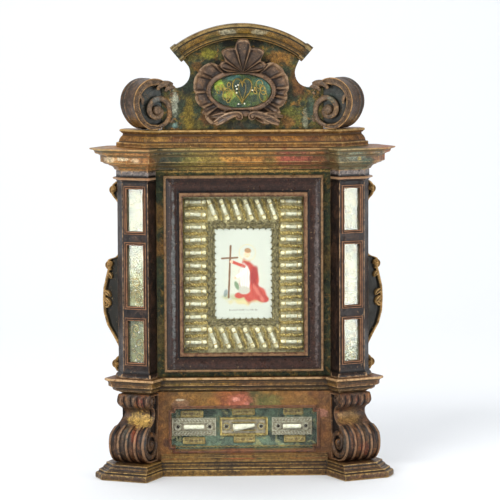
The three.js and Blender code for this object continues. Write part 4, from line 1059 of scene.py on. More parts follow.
HANDS = ((1, "right"), (-1, "left"))
for side, hand in HANDS:
    piece(f"console_{hand}", console(side), console_paint, "carved_scroll", f"scroll_console_{hand}")

# Cornice: the crowning course of pine, with corona and cyma, mitred where it breaks forward over each
# pilaster; marbled in brown and gold with the fillets rubbed bare.
PILASTER_TOP, CORNICE_TOP = 413.4, 443.2
CORNICE_REACH = (22, 14, 22, 33, 35.5)
CORNICE_RUN = 22.0
cornice_line, cornice_relief = moulding([
    (-6, PILASTER_TOP + GAP), (1.6, PILASTER_TOP + GAP), (2.2, 414.4), (2.4, 416.0),
    bow((2.8, 416.2), (6.0, 419.4), -0.7), (6.6, 419.6), (6.8, 420.8), bow((7.4, 421.0), (11.6, 423.8), 0.7),
    (12.4, 423.9), (13.2, 424.2), (13.4, 433.4), (14.4, 433.6), (15.0, 434.6),
    ogee((15.2, 434.8), (21.0, 440.8), 0.9),
    (22.0, 441.0), (22.0, 442.6), (21.4, CORNICE_TOP), (4, CORNICE_TOP),
], 72)
cornice_paint = painted(
    "cornice_paint", [(122, 90, 36), (84, 66, 34), (150, 112, 52)], (200, 168, 112), (92, 76, 46),
    patches=26.0,
    zones=[(-206, 140, 108, 66), (-160, 158, 104, 48), (-128, 142, 92, 50), (-116, 60, 70, 62),
           (-98, 44, 54, 46), (-82, 116, 108, 50), (-30, 140, 116, 54), (-22, 156, 106, 48),
           (40, 146, 96, 44), (54, 122, 60, 44), (100, 116, 66, 44), (116, 66, 46, 34), (126, 92, 98, 78),
           (160, 74, 84, 68), (176, 120, 84, 58), (206, 150, 80, 54)], level=0.43, zone_share=0.75, rub=0.5,
    spots=[(-178, 429, 8, 4, 196, 176, 140, 0.8), (-160, 430, 7, 3, 204, 186, 150, 0.8),
           (-144, 428, 6, 4, 190, 164, 126, 0.7), (-188, 440, 14, 3, 96, 92, 70, 0.7),
           (-90, 432, 14, 12, 48, 60, 46, 0.8), (-68, 428, 12, 6, 132, 122, 60, 0.6),
           (-20, 430, 16, 5, 168, 124, 58, 0.7), (14, 436, 14, 5, 176, 130, 62, 0.6),
           (36, 426, 10, 5, 96, 86, 40, 0.6), (58, 430, 15, 12, 132, 66, 50, 0.75),
           (80, 428, 13, 11, 128, 66, 50, 0.7), (96, 438, 12, 5, 150, 96, 50, 0.6),
           (150, 432, 12, 6, 132, 142, 122, 0.7), (166, 424, 8, 6, 52, 72, 56, 0.7),
           (182, 436, 9, 5, 84, 100, 92, 0.6), (154, 429, 3, 3, 176, 150, 66, 0.8),
           (196, 430, 7, 8, 158, 84, 56, 0.7), (0, 417, 86, 2.2, 186, 146, 74, 0.7),
           (-76, 438, 9, 5, 52, 62, 48, 0.6), (-48, 436, 12, 5, 148, 120, 58, 0.6)])
piece("cornice_course",
      [course(cornice_line, cornice_relief, CORNICE_RUN, CORNICE_REACH, wave=0.3, chips=0.8, seed=21)],
      cornice_paint, "marbled_wood", "cornice")

# Case body: the plain box of boards behind the main window, marbled in green and ochre. Only narrow strips
# of it show between frame and pilasters.
case_paint = painted(
    "case_paint", [(70, 68, 34), (44, 52, 30), (118, 92, 42)], (150, 124, 78), (22, 22, 14), patches=70.0,
    back=56.0,
    spots=[(0, 411.0, 112, 2.0, 170, 136, 70, 0.85), (-112, 352, 9, 16, 120, 84, 34, 0.7),
           (-112, 308, 9, 12, 140, 96, 40, 0.7), (-112, 384, 9, 14, 40, 56, 32, 0.6),
           (-112, 270, 9, 20, 44, 58, 34, 0.6), (-112, 190, 9, 26, 104, 84, 36, 0.6),
           (112, 350, 9, 20, 46, 58, 34, 0.6), (112, 290, 9, 18, 110, 84, 38, 0.6)])
node_finish("case_body", case_paint)

# Pilasters: turned outward at the front corners, of dark violet-grey lacquer rubbed to copper on every arris.
# Each has a flared foot, an astragal, and three glazed niches behind raised lips.
NICHES = {"low": (151.7, 216.4), "middle": (227.4, 318.0), "high": (328.3, 393.2)}
LIP_HALF, LIP_BAND, NICHE_DEPTH = 16.0, 4.0, 8.0
PILASTER_LOW = LEDGE_TOP + GAP


def pilaster_plan(grow):
    """The right pilaster's outline grown outward: foot at the case, inner, front, outer, rear faces, back."""
    points = half_plan((0, grow, grow, grow, grow * 0.8))
    foot = np.linalg.solve(np.array([-ALONG, (-1.0, 0.0)]), (-ALONG @ points[1], -CASE_HALF))
    return np.vstack([foot, points[1:], (CASE_HALF, CASE_BACK)])


pilaster_line, pilaster_relief = moulding([
    (-8, PILASTER_LOW), (4.4, PILASTER_LOW), (4.4, 136.4), ogee((4.0, 136.8), (0.2, 142.5), 0.5), (0, 144),
    (0, 398.8), (1.5, 399.2), (1.6, 400.9), bow((4.8, 401.2), (4.8, 404.3), 1.4), (1.2, 404.7),
    (1.2, PILASTER_TOP), (-8, PILASTER_TOP),
], 104, soft=0.2)
HAIR = 0.01  # rows and columns stand in pairs this far to both sides of a niche's edge
cuts = [edge + way * HAIR for low, high in NICHES.values() for edge in (low + LIP_BAND, high - LIP_BAND)
        for way in (-1, 1)]
shaft = np.concatenate([np.sort(cuts), np.arange(146, 397, 5.0)])
shaft_rows = np.vstack([np.column_stack([pilaster_line[:, ::-1], pilaster_relief]),
                        np.column_stack([shaft, 0 * shaft, 0 * shaft])])
pilaster_heights, pilaster_grow, pilaster_marks = shaft_rows[np.argsort(shaft_rows[:, 0], kind="stable")].T
COLUMN_STEP = 2.0


def upright_box(half, low, high, middle=0.0):
    """Corners of an upright rectangle, anticlockwise from its low left."""
    return np.array([(middle - half, low), (middle + half, low), (middle + half, high),
                     (middle - half, high)])


def pilaster(side):
    """One pilaster: its plan swept up the profile, the niches pushed back, and a raised lip round each."""
    base = pilaster_plan(0.0)
    flat, far, corners = mitred(base, pilaster_plan(1.0) - base, pilaster_grow, COLUMN_STEP)
    across = (flat - inner_corner) @ ALONG
    ahead = (flat - inner_corner) @ AHEAD
    heights = np.broadcast_to(pilaster_heights[:, None], across.shape)
    marks = np.clip(pilaster_marks[:, None] + corners[None], -1, 1)
    points = hand_worked(block_place(across, ahead, heights, side), marks, False, 0.12, 0.35, 51)
    face = (np.abs(ahead) < 0.05) & (across > 0.5) & (across < PILASTER_FACE - 0.5)
    clear = LIP_HALF - LIP_BAND
    middle = PILASTER_FACE / 2
    near = np.abs(across - middle)
    # the columns either side of each niche wall are drawn onto the wall's own line
    wall = face & (near > clear - COLUMN_STEP) & (near < clear + COLUMN_STEP)
    snap = np.where(near < clear, clear - HAIR, clear + HAIR)
    moved = np.where(wall, middle + np.sign(across - middle) * snap - across, 0.0)
    inside_z = np.zeros_like(heights, bool)
    for low, high in NICHES.values():
        inside_z |= (heights > low + LIP_BAND) & (heights < high - LIP_BAND)
    sunk = face & inside_z & (np.where(wall, snap, near) < clear)
    points[..., 0] += side * moved * ALONG[0]
    points[..., 0] -= side * sunk * NICHE_DEPTH * AHEAD[0]
    points[..., 1] += moved * ALONG[1]
    points[..., 1] -= sunk * NICHE_DEPTH * AHEAD[1]
    body = [shell(points, marks * ~sunk, far, np.linspace(0, 1, len(heights))[:, None])]
    line, relief = moulding([
        (-0.2, -6.3), (-0.2, 0.9), bow((0.1, 1.5), (1.3, 1.9), -0.3), (1.5, 1.1),
        bow((1.7, 1.0), (2.5, 1.0), 0.2), bow((2.7, 1.5), (3.9, 1.5), -0.3), (LIP_BAND, 0.8),
        (LIP_BAND, -2.0),
    ], 28, soft=0.14, broad=0.8, closed=True)
    lips = [framed(upright_box(clear, low + LIP_BAND, high - LIP_BAND, middle), upright_box(1, -1, 1),
                   line, relief,
                   lambda flat, stand: block_place(flat[..., 0], stand, flat[..., 1], side),
                   0.06, 0.2, 60 + seed, 2.2)
            for seed, (low, high) in enumerate(NICHES.values())]
    return body, lips


pilaster_paint = painted(
    "pilaster_paint", [(40, 28, 23), (26, 19, 18), (60, 42, 32)], (176, 142, 106), (14, 9, 8), patches=34.0,
    vein=0.2, rub=1.0, cracks=0.7, rough=(0.3, 0.5), coat=0.05, gloss=0.22,
    spots=[(side * 150, *patch) for side in (-1, 1)
           for patch in ((409, 40, 4.6, 132, 122, 116, 0.7), (402.8, 46, 2.4, 168, 118, 88, 0.85))])
lip_paint = painted(
    "lip_paint", [(66, 46, 38), (50, 36, 32), (80, 54, 42)], (150, 108, 78), (22, 15, 13), vein=0.0, rub=0.9,
    mottled=0.6,
    bands=[(0.0, 84, 56, 40), (0.05, 90, 60, 42), (0.3, 104, 70, 50), (0.4, 40, 28, 24), (0.62, 44, 31, 26),
           (0.74, 100, 68, 48), (1.0, 80, 56, 42)], band_share=0.8, band_kind="MIX")
for side, hand in HANDS:
    body, lips = pilaster(side)
    piece(f"pilaster_body_{hand}", body, pilaster_paint, "violet_pilaster", f"pilaster_{hand}")
    piece(f"niche_lips_{hand}", lips, lip_paint, "violet_pilaster")

# Niche contents: curls and rings bent from gilt wire and seed pearls, laid flat on the marbled ground of
# the six niches.
rings, niche_curls, pearls = [], [], []
round_turn = np.linspace(0, 2 * np.pi, 50)
for side in (-1, 1):
    for number, (low, high) in enumerate(NICHES.values()):
        z0, z1 = low + LIP_BAND + 2, high - LIP_BAND - 2
        chance = np.random.default_rng(90 + number + 10 * (side > 0))

        def niche_place(rod, side=side):
            return block_place(rod[..., 0], rod[..., 2] - NICHE_DEPTH + 1.6, rod[..., 1], side)

        middle = PILASTER_FACE / 2
        z = z0 + 5
        while z < z1 - 5:
            way = 1 if chance.random() > 0.5 else -1
            centre = (middle + way * 2.4, z)
            niche_curls.append(wire(curl(centre, 7.6, 1.2, 1.4, chance.uniform(0, 360), way), 0.5, 0.9,
                                    niche_place, 5))
            niche_curls.append(wire(curl((middle - way * 6.2, z + 9.4), 3.6, 0.8, 1.3,
                                         chance.uniform(0, 360), -way),
                                    0.45, 0.9, niche_place, 5))
            spot = niche_place(np.array([middle - way * 2.5, z - 4.2, 1.2]))
            pearls.append(bead(spot, 1.1))
            z += 19.0
        if (side, number) == (-1, 1):
            ring = curl((middle + 1.5, z0 + 30), 5.2, 4.4, 1.1, 0, 1)
            loop = (middle - 1, z0 + 11) + round_points(round_turn) * (3.4, 8.5)
            rings += [wire(ring, 0.8, 1.4, niche_place, 6), wire(loop, 0.45, 1.2, niche_place, 5)]
piece("niche_rings", rings, gold_wire, "gold_braid")
piece("niche_curls", niche_curls, gold_wire, "gold_braid")
pearl = plain("seed_pearl", (232, 226, 212), 0.25)
piece("niche_pearls", pearls, pearl, "silver_lace")

# Side wings: thin boards of carved lime glued behind the pilasters, green-marbled, with a gilt rim that
# curls over at three places.
WING_POINTS = np.array([
    (3, 139.6), (7, 139.5), (10, 144), (11, 151), (8, 158), (2, 162), (2, 168), (5, 176), (12, 188),
    (21, 202), (26, 219), (27, 236), (26, 252), (22, 268), (19, 279), (20.5, 285), (19, 291), (15, 293),
    (9, 293.4), (4, 298), (2, 306), (2, 366), (6, 372), (12, 378), (14, 386), (11, 393), (5, 397.5),
])
WING_BACK, WING_THICK = 20.0, 11.0


def wing_place(reach, height, lift, side):
    """Points of a wing: out from the pilaster's rear corner, up, and lifted off its front."""
    reach, height, lift = np.broadcast_arrays(reach, height, lift)
    back = WING_BACK - WING_THICK - lift
    plan = rear_corner + (reach[..., None] + GAP) * ALONG - back[..., None] * AHEAD
    return np.stack([side * plan[..., 0], plan[..., 1], height], axis=-1)


def wing(side):
    """The board with its sunk field and raised rim, and the curls and leaves carved on it."""
    heights = np.linspace(139.8, 397.2, 210)
    edge = np.interp(heights, WING_POINTS[:, 1], WING_POINTS[:, 0])
    edge = smoothed(edge[:, None], 0.8, 1.0, False)[:, 0] + 0.3
    u = np.linspace(0, 1, 27)[None]
    reach = u * edge[:, None]
    from_edge = edge[:, None] - reach
    rim = np.exp(-((from_edge - 2.4) / 2.2) ** 2)
    wide = np.clip((edge[:, None] - 9) / 6, 0, 1)
    field = wide * np.clip((from_edge - 4.6) / 1.8, 0, 1)
    lift = 2.6 * rim - 2.6 * field - 1.4 * np.exp(-(from_edge / 0.7) ** 2)
    front = wing_place(reach, heights[:, None], lift, side)
    rear = wing_place(reach[:, ::-1], heights[:, None], -WING_THICK, side)
    marks = np.clip(1.6 * (rim - 0.45) - 0.7 * np.exp(-((from_edge - 6.0) / 1.2) ** 2) * wide, -1, 1)
    points = np.concatenate([front, rear], axis=1)
    marks = np.concatenate([marks, 0 * marks], axis=1)
    share = np.concatenate([np.broadcast_to(field, reach.shape), 0 * reach], axis=1)
    made = [carved(points, marks, 0.25, 0.5, 71, heights[:, None], share)]

    def lay(rod):
        return wing_place(rod[..., 0], rod[..., 1], rod[..., 2], side)

    curls = (((15.5, 284.5), 6.2, 1.6, 1.15, -110, 1), ((7.0, 149.0), 5.4, 1.4, 1.1, 90, -1),
             ((8.6, 386.5), 5.6, 1.6, 1.1, -90, 1))
    for centre, outer, inner, turns, start, way in curls:
        path = curl(centre, outer, inner, turns, start, way, 60)
        band = swept(path, np.linspace(1.9, 1.1, 60), np.linspace(3.4, 2.6, 60), BAND_SECTION, 0.2)
        made.append(shell(lay(band), BAND_RELIEF))
        made.append(bead(lay(np.array([*centre, 1.6])), inner * 1.25, 8, 14))
    leaves = (((24.5, 247), (21, 247), (17.5, 245), (15.5, 240)),
              ((25.5, 238), (21, 237), (17.5, 234), (15.5, 229)),
              ((24, 229), (20.5, 227), (18, 229), (17.5, 233)),
              ((20, 271), (17, 272), (14.5, 269), (14, 265)))
    for a, b, c, d in leaves:
        path = bent(a, b, c, d, 30)
        taper = np.sin(np.linspace(0.15, np.pi - 0.1, 30)) ** 0.7
        leaf = swept(path, 3.1 * taper + 0.2, 3.6 * taper + 0.4, BAND_SECTION, -0.8)
        made.append(shell(lay(leaf), BAND_RELIEF))
    return made


wing_paint = painted(
    "wing_paint", [(112, 86, 46), (84, 64, 38), (136, 104, 56)], (206, 170, 112), (26, 24, 16), patches=40.0,
    bands=[(0.0, 150, 116, 68), (0.3, 116, 88, 50), (0.6, 106, 108, 70), (1.0, 98, 106, 74)], band_share=0.85,
    band_kind="MIX")
for side, hand in HANDS:
    piece(f"wing_carving_{hand}", wing(side), wing_paint, "gilt_wing", f"side_wing_{hand}")

# Window frame: four lengths of one moulding, mitred at the corners and lacquered, a dark aubergine hollow
# between copper fillets.
WINDOW_HALF, WINDOW_LOW, WINDOW_HIGH = 81.0, 166.9, 377.2
FRAME_HALF, FRAME_LOW, FRAME_HIGH = 107.0, 141.6, 406.4
frame_line, frame_relief = moulding([
    (0, 0.4), (0, 4.0), (0.5, 4.9), bow((0.9, 5.2), (4.9, 5.6), -0.8), (5.5, 4.4), (5.9, 4.1), (7.2, 4.0),
    (7.6, 4.6), bow((8.2, 4.8), (21.4, 10.2), 0.9), (22.4, 10.4), (22.6, 11.1),
    bow((22.8, 11.3), (25.3, 11.2), -0.3), (26, 10.2), (26, 0.4),
], 64, soft=0.18, closed=True)
sight = upright_box(WINDOW_HALF, WINDOW_LOW, WINDOW_HIGH)
away = upright_box(FRAME_HALF, FRAME_LOW, FRAME_HIGH) - sight
frame_paint = painted(
    "frame_paint", [(44, 23, 15), (28, 16, 12), (60, 32, 20)], (164, 130, 92), (12, 8, 7), patches=36.0,
    vein=0.0, rub=0.5, cracks=0.6, rough=(0.24, 0.42), coat=0.16, gloss=0.2, mottled=0.8,
    # the hollow is lighter round its middle (share 0.5): a painted sheen along all four lengths
    bands=[(0.0, 74, 44, 28), (0.08, 88, 52, 34), (0.15, 110, 76, 56), (0.2, 74, 44, 28), (0.225, 24, 15, 12),
           (0.3, 34, 18, 12), (0.5, 58, 37, 28), (0.66, 48, 25, 15), (0.82, 30, 16, 9), (0.85, 20, 13, 10),
           (0.872, 98, 72, 46), (1.0, 92, 66, 40)], band_share=0.75, band_kind="MIX",
    # the first two spots, long pale streaks down the left and right uprights, are painted reflections
    spots=[(-94.2, 274, 2.6, 116, 118, 122, 120, 0.6), (98.0, 274, 3.0, 116, 112, 102, 98, 0.5),
           (0, 402, 92, 3.5, 66, 38, 28, 0.5), (0, 150, 90, 5, 60, 34, 24, 0.5)])
piece("window_moulding",
      [framed(sight, away / 26.0, frame_line, frame_relief, front_place, 0.15, 0.4, 81, 2.8)],
      frame_paint, "aubergine_frame", "window_frame")

# Relic tray: silk-paper rolls with gilt wire ends, laid in two columns and two rows between chains of gold
# thread and sewn down to an aged card.
TRAY_Y = 11.0
tray_card = plain("tray_card", (176, 164, 124), 0.8, 0.0, 0.9, 200, (108, 96, 60))
node_finish("relic_tray", tray_card)
tray_place = plane_place(TRAY_Y - GAP)
COLUMN_IN, COLUMN_OUT = 48.5, 80.4
ROW_BANDS = ((168.2, 202.2), (342.3, 376.2))
ROLLS_DOWN, ROLLS_ACROSS, ROLL_GIRTH = 12, 6, 2.75
pitch_z = (WINDOW_HIGH - WINDOW_LOW - 2.5) / ROLLS_DOWN
roll_shapes, sleeve_shapes, gilt_shapes, bed_shapes = [], [], [], []
chance = np.random.default_rng(7)


def paper_roll(middle, length, tilt, girth):
    """A rolled paper, its ends in sleeves of bright paper bound with two turns of gilt wire."""
    way = np.array((np.cos(tilt), np.sin(tilt)))
    t = np.linspace(-0.5, 0.5, 24)
    radius = girth * (0.9 + 0.04 * np.sin(t * 19 + middle[0] + middle[1]))
    rise = girth * 0.75 + 1.0
    roll_shapes.append(wire(np.array(middle) + way * (t * length)[:, None], radius, rise,
                            tray_place, 12, 0.0))
    for end in (-1, 1):
        t = end * np.linspace(0.29, 0.5, 11)
        swell = girth * (0.96 - 0.04 * np.cos((np.abs(t) - 0.29) / 0.21 * 2 * np.pi))
        sleeve_shapes.append(wire(np.array(middle) + way * (t * length)[:, None], swell, rise,
                                  tray_place, 12, 0.0))
        turn = np.linspace(0, 4 * np.pi, 33)
        along_it = end * (0.27 + 0.03 * turn / turn[-1]) * length
        aside = np.array((-way[1], way[0]))
        spin = np.array(middle) + way * along_it[:, None] + aside * (girth * 1.1 * np.cos(turn))[:, None]
        gilt_shapes.append(wire(spin, 0.5, rise + girth * 1.1 * np.sin(turn), tray_place, 5))


for side in (-1, 1):
    bed_shapes.append(slip(*sorted((side * COLUMN_IN, side * COLUMN_OUT)), WINDOW_LOW + 1.3,
                           WINDOW_HIGH - 1.2,
                           1.0 - TRAY_Y, 0.3 - TRAY_Y))
    centre_x = side * (COLUMN_IN + COLUMN_OUT) / 2
    for k in range(ROLLS_DOWN):
        z = WINDOW_LOW + 1.3 + pitch_z * (k + 0.5)
        tilt = chance.uniform(-0.05, 0.05)
        paper_roll((centre_x, z + pitch_z * 0.16), COLUMN_OUT - COLUMN_IN - 3, tilt, ROLL_GIRTH)
        chain_z = z - pitch_z * 0.34
        x = np.linspace(centre_x - 15.2, centre_x + 15.2, 52)
        wavy = chain_z + 0.5 * np.sin(x * 0.5 + k) + (x - centre_x) * tilt
        gilt_shapes.extend(cord(np.stack([x, wavy], 1), 2.1, 2.3, tray_place, 8.2, 6))
for low, high in ROW_BANDS:
    bed_shapes.append(slip(-COLUMN_IN + GAP, COLUMN_IN - GAP, low, high, 1.0 - TRAY_Y, 0.3 - TRAY_Y))
    step = 2 * COLUMN_IN / ROLLS_ACROSS
    for k in range(ROLLS_ACROSS):
        x = -COLUMN_IN + step * (k + 0.5)
        lean = np.radians(112 + chance.uniform(-3, 3))
        paper_roll((x - 1.0, (low + high) / 2), 30, lean, ROLL_GIRTH)
        z = np.linspace(low + 2, high - 2, 56)
        line = np.stack([x + step * 0.5 - 1.2 - (z - (low + high) / 2) * 0.36 + 0.5 * np.sin(z * 0.5), z], 1)
        gilt_shapes.extend(cord(line, 2.0, 2.3, tray_place, 8.2, 6))
rail_z = np.linspace(WINDOW_LOW + 2, WINDOW_HIGH - 2, 360)
for x in (-COLUMN_OUT + 0.4, -COLUMN_IN - 0.2, COLUMN_IN + 0.2, COLUMN_OUT - 0.4):
    gilt_shapes.extend(cord(np.stack([np.full(360, x), rail_z], 1), 0.7, 1.5, tray_place, 2.6, 5))
piece("tray_beds", bed_shapes, tray_card, "relic_card")
bright_paper = plain("bright_paper", (238, 230, 200), 0.4, 0.2, 0.9, 260, (186, 170, 116))
piece("tray_roll_ends", sleeve_shapes, bright_paper, "paper_rolls")
piece("tray_rolls", roll_shapes, roll_paper, "paper_rolls", "roll_column_left", "roll_column_right")
piece("tray_gilt_thread", gilt_shapes, gold_wire, "gold_braid", "roll_row_low", "roll_row_high")

# Braid border: a flat woven galloon of tarnished gold thread, scalloped on both edges, glued to the card
# round the print.
BRAID_OUT, BRAID_IN = (47.4, 203.0, 341.6), (38.6, 211.0, 333.4)  # half width, low, high
BRAID_WIDE, SCALLOP = 8.8, 9.4
braid_line, braid_relief = moulding([
    (0, 0), (0, 1.6), bow((0.3, 2.2), (2.6, 2.4), -0.5), (3.2, 1.7), bow((3.4, 1.6), (5.6, 1.6), -0.7),
    (5.8, 1.7), bow((6.3, 2.4), (8.5, 2.2), -0.5), (8.8, 1.4), (8.8, 0),
], 30, soft=0.15, closed=True)
braid_base = upright_box(*BRAID_IN)
braid_reach = (upright_box(*BRAID_OUT) - braid_base) / BRAID_WIDE
flat, far, _ = mitred(braid_base, braid_reach, braid_line[:, 0], 0.7)
share = braid_line[:, 0, None] / BRAID_WIDE
swell = np.abs(np.sin(far[None] * (2 * np.pi / SCALLOP) / 2)) - 0.5
flat = flat + (flat - flat.mean(axis=0)[None]) * ((share - 0.5) * 4.6 * swell)[..., None] * 0.55
weave = 0.4 * swell * (braid_line[:, 1, None] > 1)
stand = braid_line[:, 1, None] + weave
braid_points = np.stack([flat[..., 0], TRAY_Y - GAP - stand, flat[..., 1]], axis=-1)
braid_marks = np.clip(0.6 * braid_relief[:, None] + 2.2 * weave, -1, 1)
old_gold = plain("old_gold_braid", (124, 112, 74), 0.5, 0.4, 0.9, 420, (64, 56, 34))
piece("braid_galloon", [shell(braid_points, braid_marks, far, share, loop=True)], old_gold, "gold_braid",
      "braid_border")

# Print: a small coloured devotional print on white card; a kneeling figure in a red cape over a white
# surplice beside a brown cross, on a patch of ochre ground, and a row of shallow strokes under it.
PRINT_COLUMNS, PRINT_ROWS = 104, 164
card_half, card_low, card_high = BRAID_IN
px, pz = np.meshgrid(np.linspace(-card_half + GAP, card_half - GAP, PRINT_COLUMNS),
                     np.linspace(card_low + GAP, card_high - GAP, PRINT_ROWS))
picture = np.tile(paint(184, 184, 174)[:3], (PRINT_ROWS, PRINT_COLUMNS, 1))
mottle = grain(np.stack([px, 0 * px, pz], -1), 6.0, 5)


def lay_on(mask, colour, strength=1.0):
    """Lays a colour on the print where mask runs from 0 to 1."""
    share = np.clip(mask, 0, 1)[..., None] * strength
    picture[:] = picture * (1 - share) + np.array(paint(*colour)[:3]) * share


def patch_of(x, z, wide, tall, turn=0.0, soft=0.16, ragged=0.1):
    """An oval patch with a soft, ragged edge, turned by an angle in degrees."""
    c, s = np.cos(np.radians(turn)), np.sin(np.radians(turn))
    u = ((px - x) * c + (pz - z) * s) / wide
    v = (-(px - x) * s + (pz - z) * c) / tall
    return np.clip((1 - np.hypot(u, v) + ragged * mottle) / soft, 0, 1)


def stroke_of(x0, z0, x1, z1, width):
    """A straight stroke."""
    ax, az = x1 - x0, z1 - z0
    t = np.clip(((px - x0) * ax + (pz - z0) * az) / (ax * ax + az * az), 0, 1)
    return np.clip((width / 2 - np.hypot(px - x0 - t * ax, pz - z0 - t * az)) / 0.5 + 0.5, 0, 1)


lay_on(patch_of(2, 236, 31, 7, 3, 0.5, 0.4), (196, 176, 112), 0.75)
lay_on(patch_of(-13, 240, 17, 5, -6, 0.5, 0.4), (150, 150, 92), 0.55)
lay_on(patch_of(2, 268, 31, 38, 0, 0.9), (214, 206, 178), 0.45)
lay_on(stroke_of(-20, 240, -17, 310, 2.6), (112, 74, 44))
lay_on(stroke_of(-29, 293, -8, 294, 2.4), (112, 74, 44))
lay_on(patch_of(8, 262, 14, 32, 6, 0.16), (168, 62, 52))
lay_on(patch_of(17, 246, 16, 11, -20, 0.22), (176, 70, 58))
lay_on(patch_of(26, 238, 10, 5.5, -12, 0.3), (164, 58, 50))
lay_on(patch_of(-5, 243, 8, 5, 10, 0.3), (172, 68, 56))
for number in range(5):
    lay_on(patch_of(4 + 5 * number, 272 - 8 * number, 3.2, 7, 24, 0.5, 0.4), (204, 120, 104), 0.6)
lay_on(patch_of(2, 266, 8.0, 21, 4, 0.18), (206, 204, 194))
lay_on(patch_of(0.5, 250, 9.4, 6, 0, 0.25), (178, 172, 158))
lay_on(patch_of(14, 270, 6, 15, -14, 0.25), (142, 44, 42), 0.85)
lay_on(stroke_of(1, 282, -14, 288, 4.2), (176, 66, 54))
lay_on(stroke_of(3, 276, -9, 268, 3.6), (236, 232, 222))
lay_on(patch_of(-16, 288.6, 2.4, 2.0), (222, 176, 148))
lay_on(patch_of(-10.5, 266.6, 2.1, 1.8), (222, 176, 148))
lay_on(patch_of(5, 298.5, 4.6, 5.8, 0, 0.22, 0.03), (226, 182, 152))
lay_on(patch_of(6, 303.6, 5.6, 3.8, -8, 0.3, 0.1), (150, 112, 78))
lay_on(patch_of(3.4, 299, 0.7, 0.45, 0, 0.6, 0), (96, 66, 54), 0.8)
lay_on(patch_of(6.6, 299.1, 0.7, 0.45, 0, 0.6, 0), (96, 66, 54), 0.8)
lay_on(patch_of(5.0, 295.6, 1.2, 0.4, 0, 0.6, 0), (178, 92, 82), 0.7)
lay_on(np.clip(1 - np.abs(np.hypot(px - 5.4, pz - 300.5) - 11) / 0.6, 0, 1), (206, 176, 92), 0.8)
lay_on(patch_of(-9, 256, 3.2, 7, 20, 0.3), (74, 108, 66), 0.8)
lay_on(patch_of(-24, 246, 3.0, 6, -14, 0.3), (64, 92, 104), 0.6)
for bend_x in (-3.2, -0.6, 1.8, 5.0):
    lay_on(stroke_of(bend_x + 1.4, 283, bend_x - 1.4, 247, 0.6), (168, 162, 156), 0.7)
for number in range(6):
    lay_on(stroke_of(10 + 2.2 * number, 276 - 5 * number, 14 + 3.2 * number, 240, 0.8), (132, 22, 28), 0.65)
TYPE_HALF, TYPE_FOOT, RULE_HALF, RULE_Z = 19.0, 222.2, 12, 217.8  # the row of strokes and the rule under it
chance = np.random.default_rng(12)
at = -TYPE_HALF
while at < TYPE_HALF:
    head = at + chance.uniform(-0.2, 0.3)
    lay_on(stroke_of(at, TYPE_FOOT, head, TYPE_FOOT + chance.uniform(0.9, 2.1), 0.5), (96, 88, 80))
    at += chance.uniform(0.9, 1.8)
lay_on(stroke_of(-RULE_HALF, RULE_Z, RULE_HALF, RULE_Z, 0.4), (150, 144, 132), 0.6)
front_grid = np.stack([px, np.full_like(px, TRAY_Y - 1.0), pz], -1)
card_mesh = bpy.data.meshes.new("coloured_print")
rear_grid = front_grid + (0, 0.6, 0)
all_points = np.concatenate([front_grid.reshape(-1, 3), rear_grid.reshape(-1, 3)]) * MM
count = PRINT_ROWS * PRINT_COLUMNS
r, c = np.meshgrid(np.arange(PRINT_ROWS - 1), np.arange(PRINT_COLUMNS - 1), indexing="ij")
first = (r * PRINT_COLUMNS + c).ravel()
face_quads = np.stack([first, first + 1, first + PRINT_COLUMNS + 1, first + PRINT_COLUMNS], 1)
rim_ring = np.concatenate([np.arange(PRINT_COLUMNS),
                           (np.arange(1, PRINT_ROWS) * PRINT_COLUMNS + PRINT_COLUMNS - 1),
                           (PRINT_ROWS - 1) * PRINT_COLUMNS + np.arange(PRINT_COLUMNS - 2, -1, -1),
                           np.arange(PRINT_ROWS - 2, 0, -1) * PRINT_COLUMNS])
rim_next = np.roll(rim_ring, -1)
side_quads = np.stack([rim_ring, rim_ring + count, rim_next + count, rim_next], 1)
card_faces = np.concatenate([face_quads, side_quads]).tolist() + [(rim_ring[::-1] + count).tolist()]
card_mesh.from_pydata(all_points.tolist(), [], card_faces)
hues = np.ones((2 * count, 4))
hues[:count, :3] = picture.reshape(-1, 3)
hues[count:, :3] = paint(214, 208, 190)[:3]
card_mesh.color_attributes.new("tint", "FLOAT_COLOR", "POINT").data.foreach_set("color", hues.ravel())
print_finish, print_tree, print_shader = new_material("print_card_ink")
print_tree.links.new(node(print_tree, "Attribute", attribute_name="tint").outputs["Color"],
                     print_shader.inputs["Base Color"])
print_shader.inputs["Roughness"].default_value = 0.7
placed("coloured_print", card_mesh, print_finish, "print_paper", "print_card")

# Attic moulding: the low base of the crest on the cornice, its ends running back on a slant; marbled in
# gold-brown with a bare fillet under and over its hollow.
ATTIC_TOP = 467.0


def attic_ring(stand):
    """The base's outline at a distance out, anticlockwise from the left end of its back."""
    right = np.array([(128 + stand * 0.45, 4 - stand), (158 + stand, 36 - stand * 0.4), (152 + stand, 52)])
    return np.vstack([right[::-1] * (-1, 1), right])


